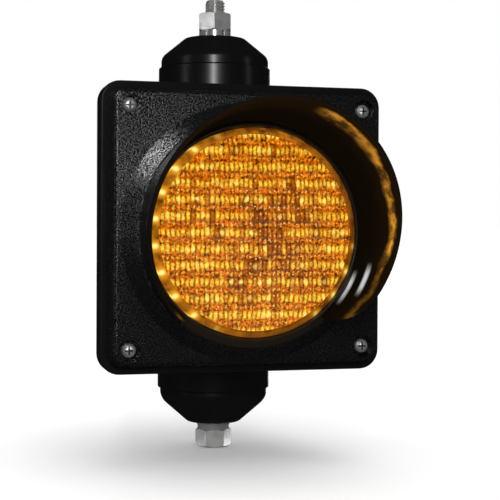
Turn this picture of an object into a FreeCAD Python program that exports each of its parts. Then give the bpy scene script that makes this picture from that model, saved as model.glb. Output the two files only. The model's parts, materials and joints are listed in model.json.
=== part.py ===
import FreeCAD, Part
import math
import os
import Sketcher

# One-aspect LED signal head that turns on an M12 rod.
# Frame: millimetres, +Z up, the lens faces -Y. The origin lies on the rod's axis, on the top face of
# the top nut, where the free end of the rod starts. Every piece is drawn with Z = 0 at the height of
# the housing's centre, then lowered by its Placement.
# In the expressions a bare "+ 1" or "- 1" carries a cut 1 mm past the face it opens, or roots an added
# solid 1 mm inside the wall it stands on.

DIMENSIONS = [
    ("face_size", 160, "side of the square flange"),
    ("flange_corner", 11, "corner radius of the flange"),
    ("flange_thick", 14, "depth of the flange's edge"),
    ("axis_depth", 72.7, "flange front face to rod axis"),
    ("housing_depth", 112, "flange front face to back wall"),
    ("shell_front", 142, "housing width at the flange's back face"),
    ("shell_back", 120, "housing width at the back wall"),
    ("shell_corner", 14, "corner radius of the housing behind the flange"),
    ("shell_edge", 4, "chamfer of the back wall's edge"),
    ("housing_wall", 3, "wall of the housing"),
    ("collar_radius", 34.1, "outside of the round collars"),
    ("collar_bore", 31, "inside radius of the collars"),
    ("collar_reach", 96.9, "housing centre to a collar's end"),
    ("collar_foot", 50, "housing centre to the height where a collar is trimmed by the cavity"),
    ("groove_inner", 73.4, "half width inside the gasket groove"),
    ("groove_outer", 75.9, "half width outside the gasket groove"),
    ("groove_corner", 7.9, "corner radius outside the gasket groove"),
    ("groove_depth", 2, "depth of the gasket groove"),
    ("door_base", 153, "door width at the flange"),
    ("door_front", 148.4, "door width at its front face"),
    ("door_corner", 8.5, "corner radius of the door at the flange"),
    ("door_front_corner", 6.6, "corner radius of the door at its front"),
    ("door_edge", 2.4, "rounding of the door's front edge"),
    ("door_stand", 13.2, "flange front face to door face"),
    ("door_wall", 2.5, "wall of the door"),
    ("screw_spacing", 131.4, "distance between neighbouring door screws"),
    ("screw_well", 6, "radius of a counterbore for a door screw"),
    ("screw_well_depth", 3.2, "depth of that counterbore"),
    ("screw_hole", 2.25, "clearance radius for an M4 screw"),
    ("screw_radius", 2, "M4 thread radius"),
    ("screw_head", 3.9, "pan head radius"),
    ("screw_head_rise", 2.6, "pan head height"),
    ("screw_reach", 20, "length of a door screw under its head"),
    ("recess_long", 2.1, "half length of the cross recess"),
    ("recess_wide", 0.45, "half width of the cross recess"),
    ("insert_radius", 2.8, "outside of a threaded insert"),
    ("insert_length", 9, "length of a threaded insert"),
    ("boss_radius", 5.5, "flange boss round an insert"),
    ("insert_floor", 3, "plastic left behind an insert"),
    ("lens_drop", 2.3, "lens centre below the housing's centre"),
    ("cone_radius", 70.8, "foot of the conical boss on the door"),
    ("cone_top", 62.5, "opening in the conical boss"),
    ("cone_rise", 8.5, "height of the conical boss"),
    ("seat_radius", 67, "recess behind the boss for the visor's foot"),
    ("visor_root", 61.55, "visor outside radius in the plane of the door face"),
    ("visor_flare", 0.085, "growth of that radius per millimetre forward"),
    ("visor_wall", 2.1, "wall of the visor"),
    ("visor_blank", 80, "length of the visor before it is cut"),
    ("visor_side", 56.5, "visor reach at the height of the lens centre"),
    ("visor_slant", 14.8, "angle of the visor's rim from vertical, degrees"),
    ("visor_skirt", 46.6, "lens centre to the visor's lower edge"),
    ("visor_bend", 22, "radius where the rim turns into the lower edge"),
    ("visor_lip", 57.2, "inside radius of the visor's base ring"),
    ("visor_foot", 66.5, "outside radius of the visor's foot"),
    ("lens_radius", 56.3, "outside of the lens wall"),
    ("lens_rise", 12.2, "door face to the lens shoulder"),
    ("lens_bevel", 53.6, "radius where the shoulder's bevel ends"),
    ("lens_bevel_rise", 16, "door face to the top of the bevel"),
    ("lens_crown", 20.7, "door face to the middle of the lens"),
    ("lens_wall", 2.2, "wall of the lens"),
    ("lens_flange", 64.5, "outside of the lens flange"),
    ("lens_gasket_thick", 2, "gasket between visor foot and lens flange"),
    ("lens_flange_thick", 2.5, "thickness of the lens flange"),
    ("inner_lens_radius", 58.2, "inner lens radius"),
    ("module_rim", 66, "outside of the LED module's rim"),
    ("module_rim_thick", 3, "thickness of that rim"),
    ("module_front", 60, "module shell radius behind the rim"),
    ("module_back", 48, "module shell radius at its floor"),
    ("module_depth", 46, "module rim's back face to the floor"),
    ("module_wall", 2.2, "wall of the module shell"),
    ("clip_circle", 75, "radius of the circle of clip screws"),
    ("clip_boss", 4, "radius of the door's boss for a clip screw"),
    ("clip_inner", 60.5, "lens axis to a clip's inner end"),
    ("clip_width", 12, "width of a module clip"),
    ("clip_thick", 1.5, "thickness of a module clip"),
    ("clip_screw", 1.4, "clip screw radius"),
    ("clip_head", 2.7, "clip screw head radius"),
    ("board_radius", 49, "LED board radius"),
    ("board_thick", 1.6, "thickness of both circuit boards"),
    ("board_back", 24, "module floor to the LED board"),
    ("post_circle", 36, "radius of the circle of board posts"),
    ("post_radius", 3.2, "radius of a board post"),
    ("driver_post", 3, "radius of a driver board post"),
    ("post_hole", 1.1, "screw hole radius in a post"),
    ("led_radius", 2.5, "radius of an LED's dome"),
    ("led_base", 2.9, "radius of an LED's rim"),
    ("led_height", 8.2, "height of an LED"),
    ("driver_width", 50, "driver board along X"),
    ("driver_height", 38, "driver board along Z"),
    ("driver_lift", 4, "module floor to the driver board"),
    ("driver_inset", 4, "driver board edge to its fixing holes"),
    ("driver_hole", 1.2, "fixing hole radius in the driver board"),
    ("rod_radius", 6, "M12 thread radius, free end"),
    ("rod_core", 5.43, "rod radius elsewhere, the thread's pitch radius"),
    ("rod_free", 8, "free length above the top nut"),
    ("rod_chamfer", 1, "chamfer on the rod's end"),
    ("nut_flats", 19, "M12 nut, width across flats"),
    ("nut_height", 10.8, "M12 nut height"),
    ("flat_washer", 10, "flat washer radius"),
    ("flat_washer_thick", 2, "flat washer thickness"),
    ("split_washer", 9.6, "spring washer radius"),
    ("split_washer_thick", 2.5, "spring washer thickness"),
    ("washer_bore", 6.5, "washer hole radius"),
    ("washer_gap", 1.4, "sawn gap of a spring washer"),
    ("cap_radius", 32.6, "outside of a cap"),
    ("cap_shoulder", 103.4, "housing centre to the foot of a cap's slope"),
    ("top_reach", 115.3, "housing centre to the top cap's flat end"),
    ("top_flat", 18.2, "radius of the top cap's flat end"),
    ("top_knee", 6, "rounding at the foot of the top cap's slope"),
    ("bottom_reach", 117.9, "housing centre to the bottom cap's flat end"),
    ("bottom_flat", 16, "radius of the bottom cap's flat end"),
    ("bottom_knee", 10, "rounding at the foot of the bottom cap's slope"),
    ("cap_rim", 3, "rounding at a cap's flat end"),
    ("cap_wall", 3.4, "wall of a cap"),
    ("cap_gap", 0.3, "running gap between cap and collar"),
    ("spigot_end", 86, "housing centre to a cap spigot's end"),
    ("spigot_wall", 3.4, "wall of a spigot"),
    ("seal_section", 1, "O-ring section radius"),
    ("gland_drop", 34, "gland axis below the housing's centre"),
    ("gland_thread", 8, "M16 gland thread radius"),
    ("gland_bore", 5.2, "cable passage radius"),
    ("gland_flats", 20, "gland body width across flats"),
    ("gland_hex", 5, "thickness of the gland body's hexagon and of its lock nut"),
    ("seal_wall", 1.4, "wall of the gland's seal"),
    ("terminal_width", 30, "terminal block along X"),
    ("terminal_deep", 14, "terminal block along Y"),
    ("terminal_tall", 18, "terminal block along Z"),
    ("terminal_lift", 30, "terminal block centre above the housing's centre"),
]

TOP_NUT_TURN = 15.2      # degrees from +X to a corner of the top nut
BOTTOM_NUT_TURN = 53.5   # the same for the bottom nut
TOP_GAP_TURN = -73       # degrees from +X to the gap of the top spring washer
BOTTOM_GAP_TURN = 60     # the same for the bottom spring washer
LED_RINGS = [(12, 6), (24, 12), (37, 18)]   # radius, count
CLIP_SCREW_DEPTH = 6     # thread below a clip
TERMINAL_PITCH = 10      # between neighbouring terminals
RECESS_DEPTH = 1.5       # cross recess of a door screw

# Heights and depths that several pieces share, as expressions on the sheet.
FLANGE = "-dims.axis_depth"
DOOR = "-(dims.axis_depth + dims.door_stand)"
FLANGE_BACK = "(dims.flange_thick - dims.axis_depth)"
BACK = "(dims.housing_depth - dims.axis_depth)"
INNER_WALL = "(dims.housing_depth - dims.axis_depth - dims.housing_wall)"
HALF_SCREWS = "dims.screw_spacing / 2"
LENS_BACK = f"({DOOR} + dims.door_wall + dims.lens_gasket_thick + dims.lens_flange_thick)"
RIM_BACK = f"({LENS_BACK} + dims.module_rim_thick)"
FLOOR = f"({RIM_BACK} + dims.module_depth)"
LED_BOARD = f"({FLOOR} - dims.board_back)"
DRIVER = f"({FLOOR} - dims.driver_lift)"
TOP_SPLIT = "(dims.top_reach + dims.flat_washer_thick)"
TOP_SEAT = f"({TOP_SPLIT} + dims.split_washer_thick)"
NUT_TOP = f"({TOP_SEAT} + dims.nut_height)"
LOW_SPLIT = "(dims.bottom_reach + dims.flat_washer_thick)"
LOW_SEAT = f"({LOW_SPLIT} + dims.split_washer_thick)"
LOW_END = f"({LOW_SEAT} + dims.nut_height)"

doc = FreeCAD.newDocument("signal_head")
sheet = doc.addObject("Spreadsheet::Sheet", "dims")
for row, (alias, size, meaning) in enumerate(DIMENSIONS, start=1):
    sheet.set(f"A{row}", meaning)
    sheet.set(f"B{row}", str(size))
    sheet.setAlias(f"B{row}", alias)
doc.recompute()

parts = []


def bind(thing, **sizes):
    """Binds properties to expressions; two underscores in a name stand for a dot."""
    for name, text in sizes.items():
        thing.setExpression(name.replace("__", "."), str(text))


def new_part(label):
    """An empty body, lowered from the housing's centre to the row's origin."""
    body = doc.addObject("PartDesign::Body", label)
    body.Label = label
    bind(body, Placement__Base__z=f"-{NUT_TOP}")
    parts.append(body)
    return body


def origin_feature(body, role):
    for feature in body.Origin.OriginFeatures:
        if feature.Role == role:
            return feature
    raise ValueError(role)


def new_sketch(body, plane, x="0", y="0", z="0"):
    """A sketch on one of the body's own planes, moved in the sketch's own axes."""
    sketch = body.newObject("Sketcher::SketchObject", "Sketch")
    sketch.AttachmentSupport = (origin_feature(body, plane), [""])
    sketch.MapMode = "FlatFace"
    bind(sketch, AttachmentOffset__Base__x=x, AttachmentOffset__Base__y=y, AttachmentOffset__Base__z=z)
    return sketch


def measured(sketch, corner):
    return FreeCAD.Vector(*[float(sketch.evalExpression(text)) for text in corner], 0)


def pin_vertex(sketch, edge, end, corner):
    """Fixes one end of an edge at a corner given by two expressions."""
    place = measured(sketch, corner)
    for kind, text, length in (("DistanceX", corner[0], place.x), ("DistanceY", corner[1], place.y)):
        index = sketch.addConstraint(Sketcher.Constraint(kind, -1, 1, edge, end, length))
        bind(sketch, **{f"Constraints[{index}]": text})


def outline(sketch, corners):
    """A closed polygon through corners, each a pair of expressions."""
    places = [measured(sketch, corner) for corner in corners]
    first = sketch.GeometryCount
    count = len(corners)
    for i in range(count):
        sketch.addGeometry(Part.LineSegment(places[i], places[(i + 1) % count]), False)
    for i in range(count):
        sketch.addConstraint(Sketcher.Constraint("Coincident", first + i, 2, first + (i + 1) % count, 1))
    for i, corner in enumerate(corners):
        pin_vertex(sketch, first + i, 1, corner)
    return sketch


def rounded_square(sketch, half, corner):
    """A square about the sketch's origin, with round corners; half and corner are expressions."""
    side = f"({half})"
    flat = f"({half} - ({corner}))"
    minus_side = f"-{side}"
    minus_flat = f"-{flat}"
    ends = [
        ((minus_flat, minus_side), (flat, minus_side)),
        ((side, minus_flat), (side, flat)),
        ((flat, side), (minus_flat, side)),
        ((minus_side, flat), (minus_side, minus_flat)),
    ]
    first = sketch.GeometryCount
    for begin, end in ends:
        sketch.addGeometry(Part.LineSegment(measured(sketch, begin), measured(sketch, end)), False)
    radius = float(sketch.evalExpression(corner))
    reach = float(sketch.evalExpression(flat))
    centres = [(reach, -reach), (reach, reach), (-reach, reach), (-reach, -reach)]
    for i, (x, y) in enumerate(centres):
        circle = Part.Circle(FreeCAD.Vector(x, y, 0), FreeCAD.Vector(0, 0, 1), radius)
        begin = (i - 1) * math.pi / 2
        sketch.addGeometry(Part.ArcOfCircle(circle, begin, begin + math.pi / 2), False)
    for i, (begin, end) in enumerate(ends):
        line = first + i
        arc = first + 4 + i
        pin_vertex(sketch, line, 1, begin)
        pin_vertex(sketch, line, 2, end)
        sketch.addConstraint(Sketcher.Constraint("Coincident", arc, 1, line, 2))
        sketch.addConstraint(Sketcher.Constraint("Coincident", arc, 2, first + (i + 1) % 4, 1))
        index = sketch.addConstraint(Sketcher.Constraint("Radius", arc, radius))
        bind(sketch, **{f"Constraints[{index}]": corner})
    return sketch


def turned(body, corners, axis="Z", cut=False, x="0", z="0"):
    """Adds or cuts a solid of revolution. About Z, corners are (radius, height). About Y, corners are
    (y, radius), and the axis stands at the given x and z."""
    if axis == "Z":
        sketch = new_sketch(body, "XZ_Plane")
        line = "V_Axis"
    else:
        sketch = new_sketch(body, "YZ_Plane", y=z, z=x)
        line = "H_Axis"
    outline(sketch, corners)
    feature = body.newObject("PartDesign::Groove" if cut else "PartDesign::Revolution", "Turned")
    feature.Profile = sketch
    feature.ReferenceAxis = (sketch, [line])
    feature.Angle = 360
    sketch.Visibility = False
    return feature


def padded(body, sketch, length, forward=False, cut=False, middle=False):
    """Pads or pockets a sketch. forward means towards the sketch's normal."""
    feature = body.newObject("PartDesign::Pocket" if cut else "PartDesign::Pad", "Padded")
    feature.Profile = sketch
    bind(feature, Length=length)
    feature.Midplane = middle
    feature.Reversed = forward if cut else not forward
    return feature


def lofted(body, sections, cut=False):
    feature = body.newObject("PartDesign::SubtractiveLoft" if cut else "PartDesign::AdditiveLoft", "Lofted")
    feature.Profile = sections[0]
    feature.Sections = sections[1:]
    feature.Ruled = True
    return feature


def square_section(body, y, half, corner):
    """A rounded square across the Y axis, at depth y."""
    return rounded_square(new_sketch(body, "XZ_Plane", z=f"-({y})"), half, corner)


def primitive(body, shape, cut, plane, offset, **sizes):
    """A box or cylinder that is added or cut, moved from one of the body's own planes in that plane's
    axes."""
    feature = body.newObject(f"PartDesign::{'Subtractive' if cut else 'Additive'}{shape}", shape)
    bind(feature, **sizes)
    feature.AttachmentSupport = (origin_feature(body, plane), [""])
    feature.MapMode = "FlatFace"
    bind(feature, AttachmentOffset__Base__x=offset[0], AttachmentOffset__Base__y=offset[1],
         AttachmentOffset__Base__z=offset[2])
    return feature


def cylinder(body, radius, front, back, x="0", z="0", cut=False):
    """A cylinder along Y from front to back, both expressions."""
    return primitive(body, "Cylinder", cut, "XZ_Plane", (x, z, f"-({back})"),
                     Radius=radius, Height=f"({back}) - ({front})")


def upright(body, radius, bottom, top, x="0", y="0", cut=False):
    """A cylinder along Z from bottom to top."""
    return primitive(body, "Cylinder", cut, "XY_Plane", (x, y, bottom),
                     Radius=radius, Height=f"({top}) - ({bottom})")


def block(body, low, high, cut=False):
    """A box between two corners, each three expressions."""
    return primitive(body, "Box", cut, "XY_Plane", low,
                     Length=f"({high[0]}) - ({low[0]})", Width=f"({high[1]}) - ({low[1]})",
                     Height=f"({high[2]}) - ({low[2]})")


def around(body, features, count, axis="Y_Axis"):
    """Repeats features evenly about one of the body's own axes."""
    pattern = body.newObject("PartDesign::PolarPattern", "Around")
    pattern.Originals = features
    pattern.Axis = (origin_feature(body, axis), [""])
    pattern.Angle = 360
    pattern.Occurrences = count
    body.Tip = pattern
    return pattern


def rounded(body, base, radius, wanted):
    """Fillets the edges of the base feature that wanted accepts."""
    doc.recompute()
    names = [f"Edge{i}" for i, edge in enumerate(base.Shape.Edges, start=1) if wanted(edge)]
    feature = body.newObject("PartDesign::Fillet", "Rounded")
    feature.Base = (base, names)
    bind(feature, Radius=radius)
    return feature


def amount(text):
    """The present value of an expression."""
    return float(sheet.evalExpression(text.replace("dims.", "")))


def at_depth(y):
    """Accepts edges that lie wholly at depth y."""
    def wanted(edge):
        box = edge.BoundBox
        return abs(box.YMin - y) < 0.01 and abs(box.YMax - y) < 0.01
    return wanted


def at_height(z, radius):
    """Accepts the circle of that radius at height z."""
    def wanted(edge):
        box = edge.BoundBox
        return abs(box.ZMin - z) < 0.01 and abs(box.ZMax - z) < 0.01 and abs(box.XMax - radius) < 0.01
    return wanted


def cut_cavity(body):
    """Cuts the tapered space inside the housing."""
    corner = "dims.shell_corner - dims.housing_wall"
    lofted(body, [
        square_section(body, f"{FLANGE_BACK} - 1", "dims.shell_front / 2 - dims.housing_wall", corner),
        square_section(body, INNER_WALL, "dims.shell_back / 2 - dims.housing_wall", corner),
    ], cut=True)


def rear_housing():
    """The tapered shell behind the flange, with round openings for the collars."""
    body = new_part("rear_housing")
    lofted(body, [
        square_section(body, FLANGE_BACK, "dims.shell_front / 2", "dims.shell_corner"),
        square_section(body, f"{BACK} - dims.shell_edge", "dims.shell_back / 2", "dims.shell_corner"),
        square_section(body, BACK, "dims.shell_back / 2 - dims.shell_edge",
                       "dims.shell_corner - dims.shell_edge / 2"),
    ])
    cut_cavity(body)
    upright(body, "dims.collar_radius", "-dims.collar_reach", "dims.collar_reach", cut=True)
    cylinder(body, "dims.gland_thread", f"{INNER_WALL} - 1", f"{BACK} + 1", z="-dims.gland_drop", cut=True)


def housing_flange():
    """The square frame that carries the door, with a gasket groove and four screw bosses."""
    body = new_part("housing_flange")
    plate = square_section(body, FLANGE, "dims.face_size / 2", "dims.flange_corner")
    padded(body, plate, "dims.flange_thick")
    opening = square_section(body, FLANGE, "dims.shell_front / 2 - dims.housing_wall",
                             "dims.shell_corner - dims.housing_wall")
    padded(body, opening, "dims.flange_thick", cut=True)
    boss = cylinder(body, "dims.boss_radius", FLANGE, FLANGE_BACK, HALF_SCREWS, HALF_SCREWS)
    around(body, [boss], 4)
    hole = cylinder(body, "dims.insert_radius", f"{FLANGE} - 1", f"{FLANGE_BACK} - dims.insert_floor",
                    HALF_SCREWS, HALF_SCREWS, cut=True)
    around(body, [hole], 4)
    padded(body, gasket_outline(body), "dims.groove_depth", cut=True)


def collar(label, side):
    """A round collar on the housing, cut to the cavity's slope; side is 1 for the top, -1 for the bottom."""
    body = new_part(label)
    low, high = "dims.collar_foot", "dims.collar_reach"
    if side < 0:
        low, high = "-dims.collar_reach", "-dims.collar_foot"
    upright(body, "dims.collar_radius", low, high)
    cut_cavity(body)
    upright(body, "dims.collar_bore", f"{low} - 1", f"{high} + 1", cut=True)


def gasket_outline(body):
    """The square ring of the door gasket, in the flange's front face."""
    ring = new_sketch(body, "XZ_Plane", z=f"-({FLANGE})")
    rounded_square(ring, "dims.groove_outer", "dims.groove_corner")
    rounded_square(ring, "dims.groove_inner", "dims.groove_corner - dims.groove_outer + dims.groove_inner")
    return ring


def door_gasket():
    body = new_part("door_gasket")
    padded(body, gasket_outline(body), "dims.groove_depth")


def housing_inserts():
    body = new_part("housing_inserts")
    sleeve = turned(body, [
        (FLANGE, "dims.screw_radius"),
        (f"{FLANGE} + dims.insert_length", "dims.screw_radius"),
        (f"{FLANGE} + dims.insert_length", "dims.insert_radius"),
        (FLANGE, "dims.insert_radius"),
    ], "Y", x=HALF_SCREWS, z=HALF_SCREWS)
    around(body, [sleeve], 4)


def front_door():
    body = new_part("front_door")
    shell = lofted(body, [
        square_section(body, FLANGE, "dims.door_base / 2", "dims.door_corner"),
        square_section(body, DOOR, "dims.door_front / 2", "dims.door_front_corner"),
    ])
    rounded(body, shell, "dims.door_edge", at_depth(amount(DOOR)))
    turned(body, [
        (f"{DOOR} + 1", "0"),
        (f"{DOOR} + 1", "dims.cone_radius"),
        (DOOR, "dims.cone_radius"),
        (f"{DOOR} - dims.cone_rise", "dims.cone_top + 0.6"),
        (f"{DOOR} - dims.cone_rise", "0"),
    ], "Y", z="-dims.lens_drop")
    lofted(body, [
        square_section(body, f"{FLANGE} + 1", "dims.door_base / 2 - dims.door_wall",
                       "dims.door_corner - dims.door_wall"),
        square_section(body, f"{DOOR} + dims.door_wall", "dims.door_front / 2 - dims.door_wall - 1",
                       "dims.door_front_corner - dims.door_wall + 1"),
    ], cut=True)
    seat = f"{DOOR} + dims.door_wall + 1"
    cylinder(body, "dims.seat_radius", DOOR, seat, z="-dims.lens_drop", cut=True)
    cylinder(body, "dims.cone_top", f"{DOOR} - dims.cone_rise - 1", seat, z="-dims.lens_drop", cut=True)
    pillar = cylinder(body, "dims.screw_well + 1.8", f"{DOOR} + 1", FLANGE, HALF_SCREWS, HALF_SCREWS)
    around(body, [pillar], 4)
    well = cylinder(body, "dims.screw_well", f"{DOOR} - 1", f"{DOOR} + dims.screw_well_depth",
                    HALF_SCREWS, HALF_SCREWS, cut=True)
    around(body, [well], 4)
    hole = cylinder(body, "dims.screw_hole", DOOR, f"{FLANGE} + 1", HALF_SCREWS, HALF_SCREWS, cut=True)
    around(body, [hole], 4)
    for side_x in ("", "-"):
        for side_z in ("", "-"):
            x = f"{side_x}dims.clip_circle / sqrt(2)"
            z = f"{side_z}dims.clip_circle / sqrt(2) - dims.lens_drop"
            cylinder(body, "dims.clip_boss", f"{DOOR} + 1", RIM_BACK, x, z)
            cylinder(body, "dims.clip_screw", f"{RIM_BACK} - {CLIP_SCREW_DEPTH}", f"{RIM_BACK} + 1", x, z,
                     cut=True)


def door_screws():
    """Four pan-head screws with a cross recess, seated in the counterbores."""
    body = new_part("door_screws")
    seat = f"{DOOR} + dims.screw_well_depth"
    top = f"{seat} - dims.screw_head_rise"
    screw = turned(body, [
        (top, "0"),
        (f"{top} + 0.35", "dims.screw_head * 0.55"),
        (f"{top} + 1.1", "dims.screw_head * 0.88"),
        (f"{seat} - 0.4", "dims.screw_head"),
        (seat, "dims.screw_head"),
        (seat, "dims.screw_radius"),
        (f"{seat} + dims.screw_reach - 1", "dims.screw_radius"),
        (f"{seat} + dims.screw_reach", "dims.screw_radius - 0.8"),
        (f"{seat} + dims.screw_reach", "0"),
    ], "Y", x=HALF_SCREWS, z=HALF_SCREWS)
    around(body, [screw], 4)
    for wide, tall in (("dims.recess_long", "dims.recess_wide"), ("dims.recess_wide", "dims.recess_long")):
        slot = block(body,
                     (f"{HALF_SCREWS} - {wide}", f"{top} - 1", f"{HALF_SCREWS} - {tall}"),
                     (f"{HALF_SCREWS} + {wide}", f"{top} + {RECESS_DEPTH}", f"{HALF_SCREWS} + {tall}"),
                     cut=True)
        around(body, [slot], 4)


def visor_radius(forward):
    """Outside radius of the visor, forward of the door face."""
    return f"(dims.visor_root + dims.visor_flare * ({forward}))"


def visor():
    body = new_part("visor")
    tip = "dims.visor_blank"
    turned(body, [
        (DOOR, visor_radius("0")),
        (f"{DOOR} - {tip}", visor_radius(tip)),
        (f"{DOOR} - {tip}", f"{visor_radius(tip)} - dims.visor_wall"),
        (DOOR, f"{visor_radius('0')} - dims.visor_wall"),
    ], "Y", z="-dims.lens_drop")
    cut_visor_rim(body)
    turned(body, [
        (f"{DOOR} + dims.door_wall", "dims.visor_lip"),
        (f"{DOOR} + dims.door_wall", "dims.visor_foot"),
        (DOOR, "dims.visor_foot"),
        (DOOR, visor_radius("0")),
        (f"{DOOR} - dims.cone_rise", visor_radius("dims.cone_rise")),
        (f"{DOOR} - dims.lens_rise", "dims.visor_lip + 1.2"),
        (f"{DOOR} - dims.lens_rise", "dims.visor_lip"),
    ], "Y", z="-dims.lens_drop")


def cut_visor_rim(body):
    """Cuts the visor's blank along a slanted rim that bends into a level lower edge."""
    sketch = new_sketch(body, "YZ_Plane", y="-dims.lens_drop")
    far = "1.25 * dims.visor_blank"
    lower = "-dims.visor_skirt"
    top_z = "dims.face_size / 2"
    low_z = "-dims.face_size / 2"
    uncut = "3"
    start = (f"{DOOR} - {uncut}", lower)
    crown = (f"{DOOR} - (dims.visor_side + {top_z} * tan(dims.visor_slant))", top_z)
    front_top = (f"{DOOR} - ({far})", top_z)
    front_low = (f"{DOOR} - ({far})", low_z)
    start_low = (f"{DOOR} - {uncut}", low_z)
    tangent = "dims.visor_bend * tan((90 - dims.visor_slant) / 2)"
    knee_y = f"({DOOR} - (dims.visor_side - dims.visor_skirt * tan(dims.visor_slant)))"
    bend_start = (f"{knee_y} + {tangent}", lower)
    bend_end = (f"{knee_y} - {tangent} * sin(dims.visor_slant)",
                f"{lower} + {tangent} * cos(dims.visor_slant)")
    bend_centre = (f"{knee_y} + {tangent}", f"{lower} + dims.visor_bend")
    places = [measured(sketch, corner)
              for corner in (start, bend_start, bend_end, crown, front_top, front_low, start_low)]
    sketch.addGeometry(Part.LineSegment(places[0], places[1]), False)
    centre = measured(sketch, bend_centre)
    circle = Part.Circle(centre, FreeCAD.Vector(0, 0, 1), amount("dims.visor_bend"))
    end_angle = math.atan2(places[2].y - centre.y, places[2].x - centre.x)
    sketch.addGeometry(Part.ArcOfCircle(circle, end_angle, -math.pi / 2 + 2 * math.pi * (end_angle > 0)), False)
    for i in range(2, 6):
        sketch.addGeometry(Part.LineSegment(places[i], places[i + 1]), False)
    sketch.addGeometry(Part.LineSegment(places[6], places[0]), False)
    pin_vertex(sketch, 0, 1, start)
    pin_vertex(sketch, 0, 2, bend_start)
    sketch.addConstraint(Sketcher.Constraint("Coincident", 1, 2, 0, 2))
    sketch.addConstraint(Sketcher.Constraint("Coincident", 1, 1, 2, 1))
    index = sketch.addConstraint(Sketcher.Constraint("Radius", 1, amount("dims.visor_bend")))
    bind(sketch, **{f"Constraints[{index}]": "dims.visor_bend"})
    for line, corner in zip(range(2, 7), (bend_end, crown, front_top, front_low, start_low)):
        pin_vertex(sketch, line, 1, corner)
    for line in range(2, 6):
        sketch.addConstraint(Sketcher.Constraint("Coincident", line, 2, line + 1, 1))
    sketch.addConstraint(Sketcher.Constraint("Coincident", 6, 2, 0, 1))
    padded(body, sketch, "dims.face_size", cut=True, middle=True)


def lens():
    body = new_part("lens")
    bevel = "dims.lens_bevel"
    wall = "dims.lens_wall"
    turned(body, [
        (f"{DOOR} - dims.lens_crown", "0"),
        (f"{DOOR} - dims.lens_crown + 0.25", f"{bevel} * 0.25"),
        (f"{DOOR} - dims.lens_crown + 1.1", f"{bevel} * 0.5"),
        (f"{DOOR} - dims.lens_crown + 2.55", f"{bevel} * 0.75"),
        (f"{DOOR} - dims.lens_bevel_rise", bevel),
        (f"{DOOR} - dims.lens_rise", "dims.lens_radius"),
        (f"{LENS_BACK} - dims.lens_flange_thick", "dims.lens_radius"),
        (f"{LENS_BACK} - dims.lens_flange_thick", "dims.lens_flange"),
        (LENS_BACK, "dims.lens_flange"),
        (LENS_BACK, f"dims.lens_radius - {wall}"),
        (f"{DOOR} - dims.lens_rise + 1", f"dims.lens_radius - {wall}"),
        (f"{DOOR} - dims.lens_bevel_rise + {wall}", f"{bevel} - 1.4"),
        (f"{DOOR} - dims.lens_crown + {wall}", "0"),
    ], "Y", z="-dims.lens_drop")


def ring_part(label, inner, outer, front, back):
    """A flat ring about the lens axis."""
    body = new_part(label)
    turned(body, [(front, inner), (front, outer), (back, outer), (back, inner)], "Y", z="-dims.lens_drop")


def disc_part(label, radius, front, back):
    body = new_part(label)
    cylinder(body, radius, front, back, z="-dims.lens_drop")


def module_shell():
    body = new_part("module_shell")
    wall = "dims.module_wall"
    turned(body, [
        (LENS_BACK, "dims.module_rim"),
        (RIM_BACK, "dims.module_rim"),
        (RIM_BACK, "dims.module_front"),
        (f"{FLOOR} + {wall}", "dims.module_back"),
        (f"{FLOOR} + {wall}", "0"),
        (FLOOR, "0"),
        (FLOOR, f"dims.module_back - {wall}"),
        (RIM_BACK, f"dims.module_front - {wall} - 1.8"),
        (f"{RIM_BACK} - 1", f"dims.module_front - {wall} - 1.8"),
        (f"{RIM_BACK} - 1", "dims.inner_lens_radius"),
        (LENS_BACK, "dims.inner_lens_radius"),
    ], "Y", z="-dims.lens_drop")
    for x, z in polar_places(3, "dims.post_circle"):
        cylinder(body, "dims.post_radius", LED_BOARD, f"{FLOOR} + 1", x, z)
        cylinder(body, "dims.post_hole", f"{LED_BOARD} - 1", f"{LED_BOARD} + 9", x, z, cut=True)
    for x, z in driver_fixings():
        cylinder(body, "dims.driver_post", DRIVER, f"{FLOOR} + 1", x, z)
        cylinder(body, "dims.post_hole", f"{DRIVER} - 1", f"{FLOOR} + 0.5", x, z, cut=True)


def polar_places(count, radius, turn=90):
    """Places evenly spaced about the lens axis, as expressions."""
    places = []
    for i in range(count):
        angle = turn + 360 * i / count
        places.append((f"{radius} * cos({angle})", f"{radius} * sin({angle}) - dims.lens_drop"))
    return places


def driver_fixings():
    """The four fixing places of the driver board."""
    half_x = "(dims.driver_width / 2 - dims.driver_inset)"
    half_z = "(dims.driver_height / 2 - dims.driver_inset)"
    return [(f"{side_x} * {half_x}", f"{side_z} * {half_z} - dims.lens_drop")
            for side_x in (-1, 1) for side_z in (-1, 1)]


def headed_screws(label, places, seat, head, head_rise, radius, reach):
    """Screws along Y with their heads in front of seat."""
    body = new_part(label)
    for x, z in places:
        turned(body, [
            (f"{seat} - {head_rise}", "0"),
            (f"{seat} - {head_rise}", f"{head} * 0.7"),
            (f"{seat} - {head_rise} * 0.4", head),
            (seat, head),
            (seat, radius),
            (f"{seat} + {reach}", radius),
            (f"{seat} + {reach}", "0"),
        ], "Y", x=x, z=z)


def module_clips():
    """Four steel strips that press the module's rim into the door."""
    body = new_part("module_clips")
    strip = block(body,
                  ("dims.clip_inner", RIM_BACK, "-dims.clip_width / 2"),
                  ("dims.clip_circle + dims.clip_boss", f"{RIM_BACK} + dims.clip_thick", "dims.clip_width / 2"))
    around(body, [strip], 4)
    hole = cylinder(body, "dims.clip_screw + 0.2", f"{RIM_BACK} - 1", f"{RIM_BACK} + dims.clip_thick + 1",
                    "dims.clip_circle", cut=True)
    around(body, [hole], 4)
    bind(body, Placement__Base__z=f"-{NUT_TOP} - dims.lens_drop")
    body.Placement = FreeCAD.Placement(body.Placement.Base, FreeCAD.Rotation(FreeCAD.Vector(0, 1, 0), 45))


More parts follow.
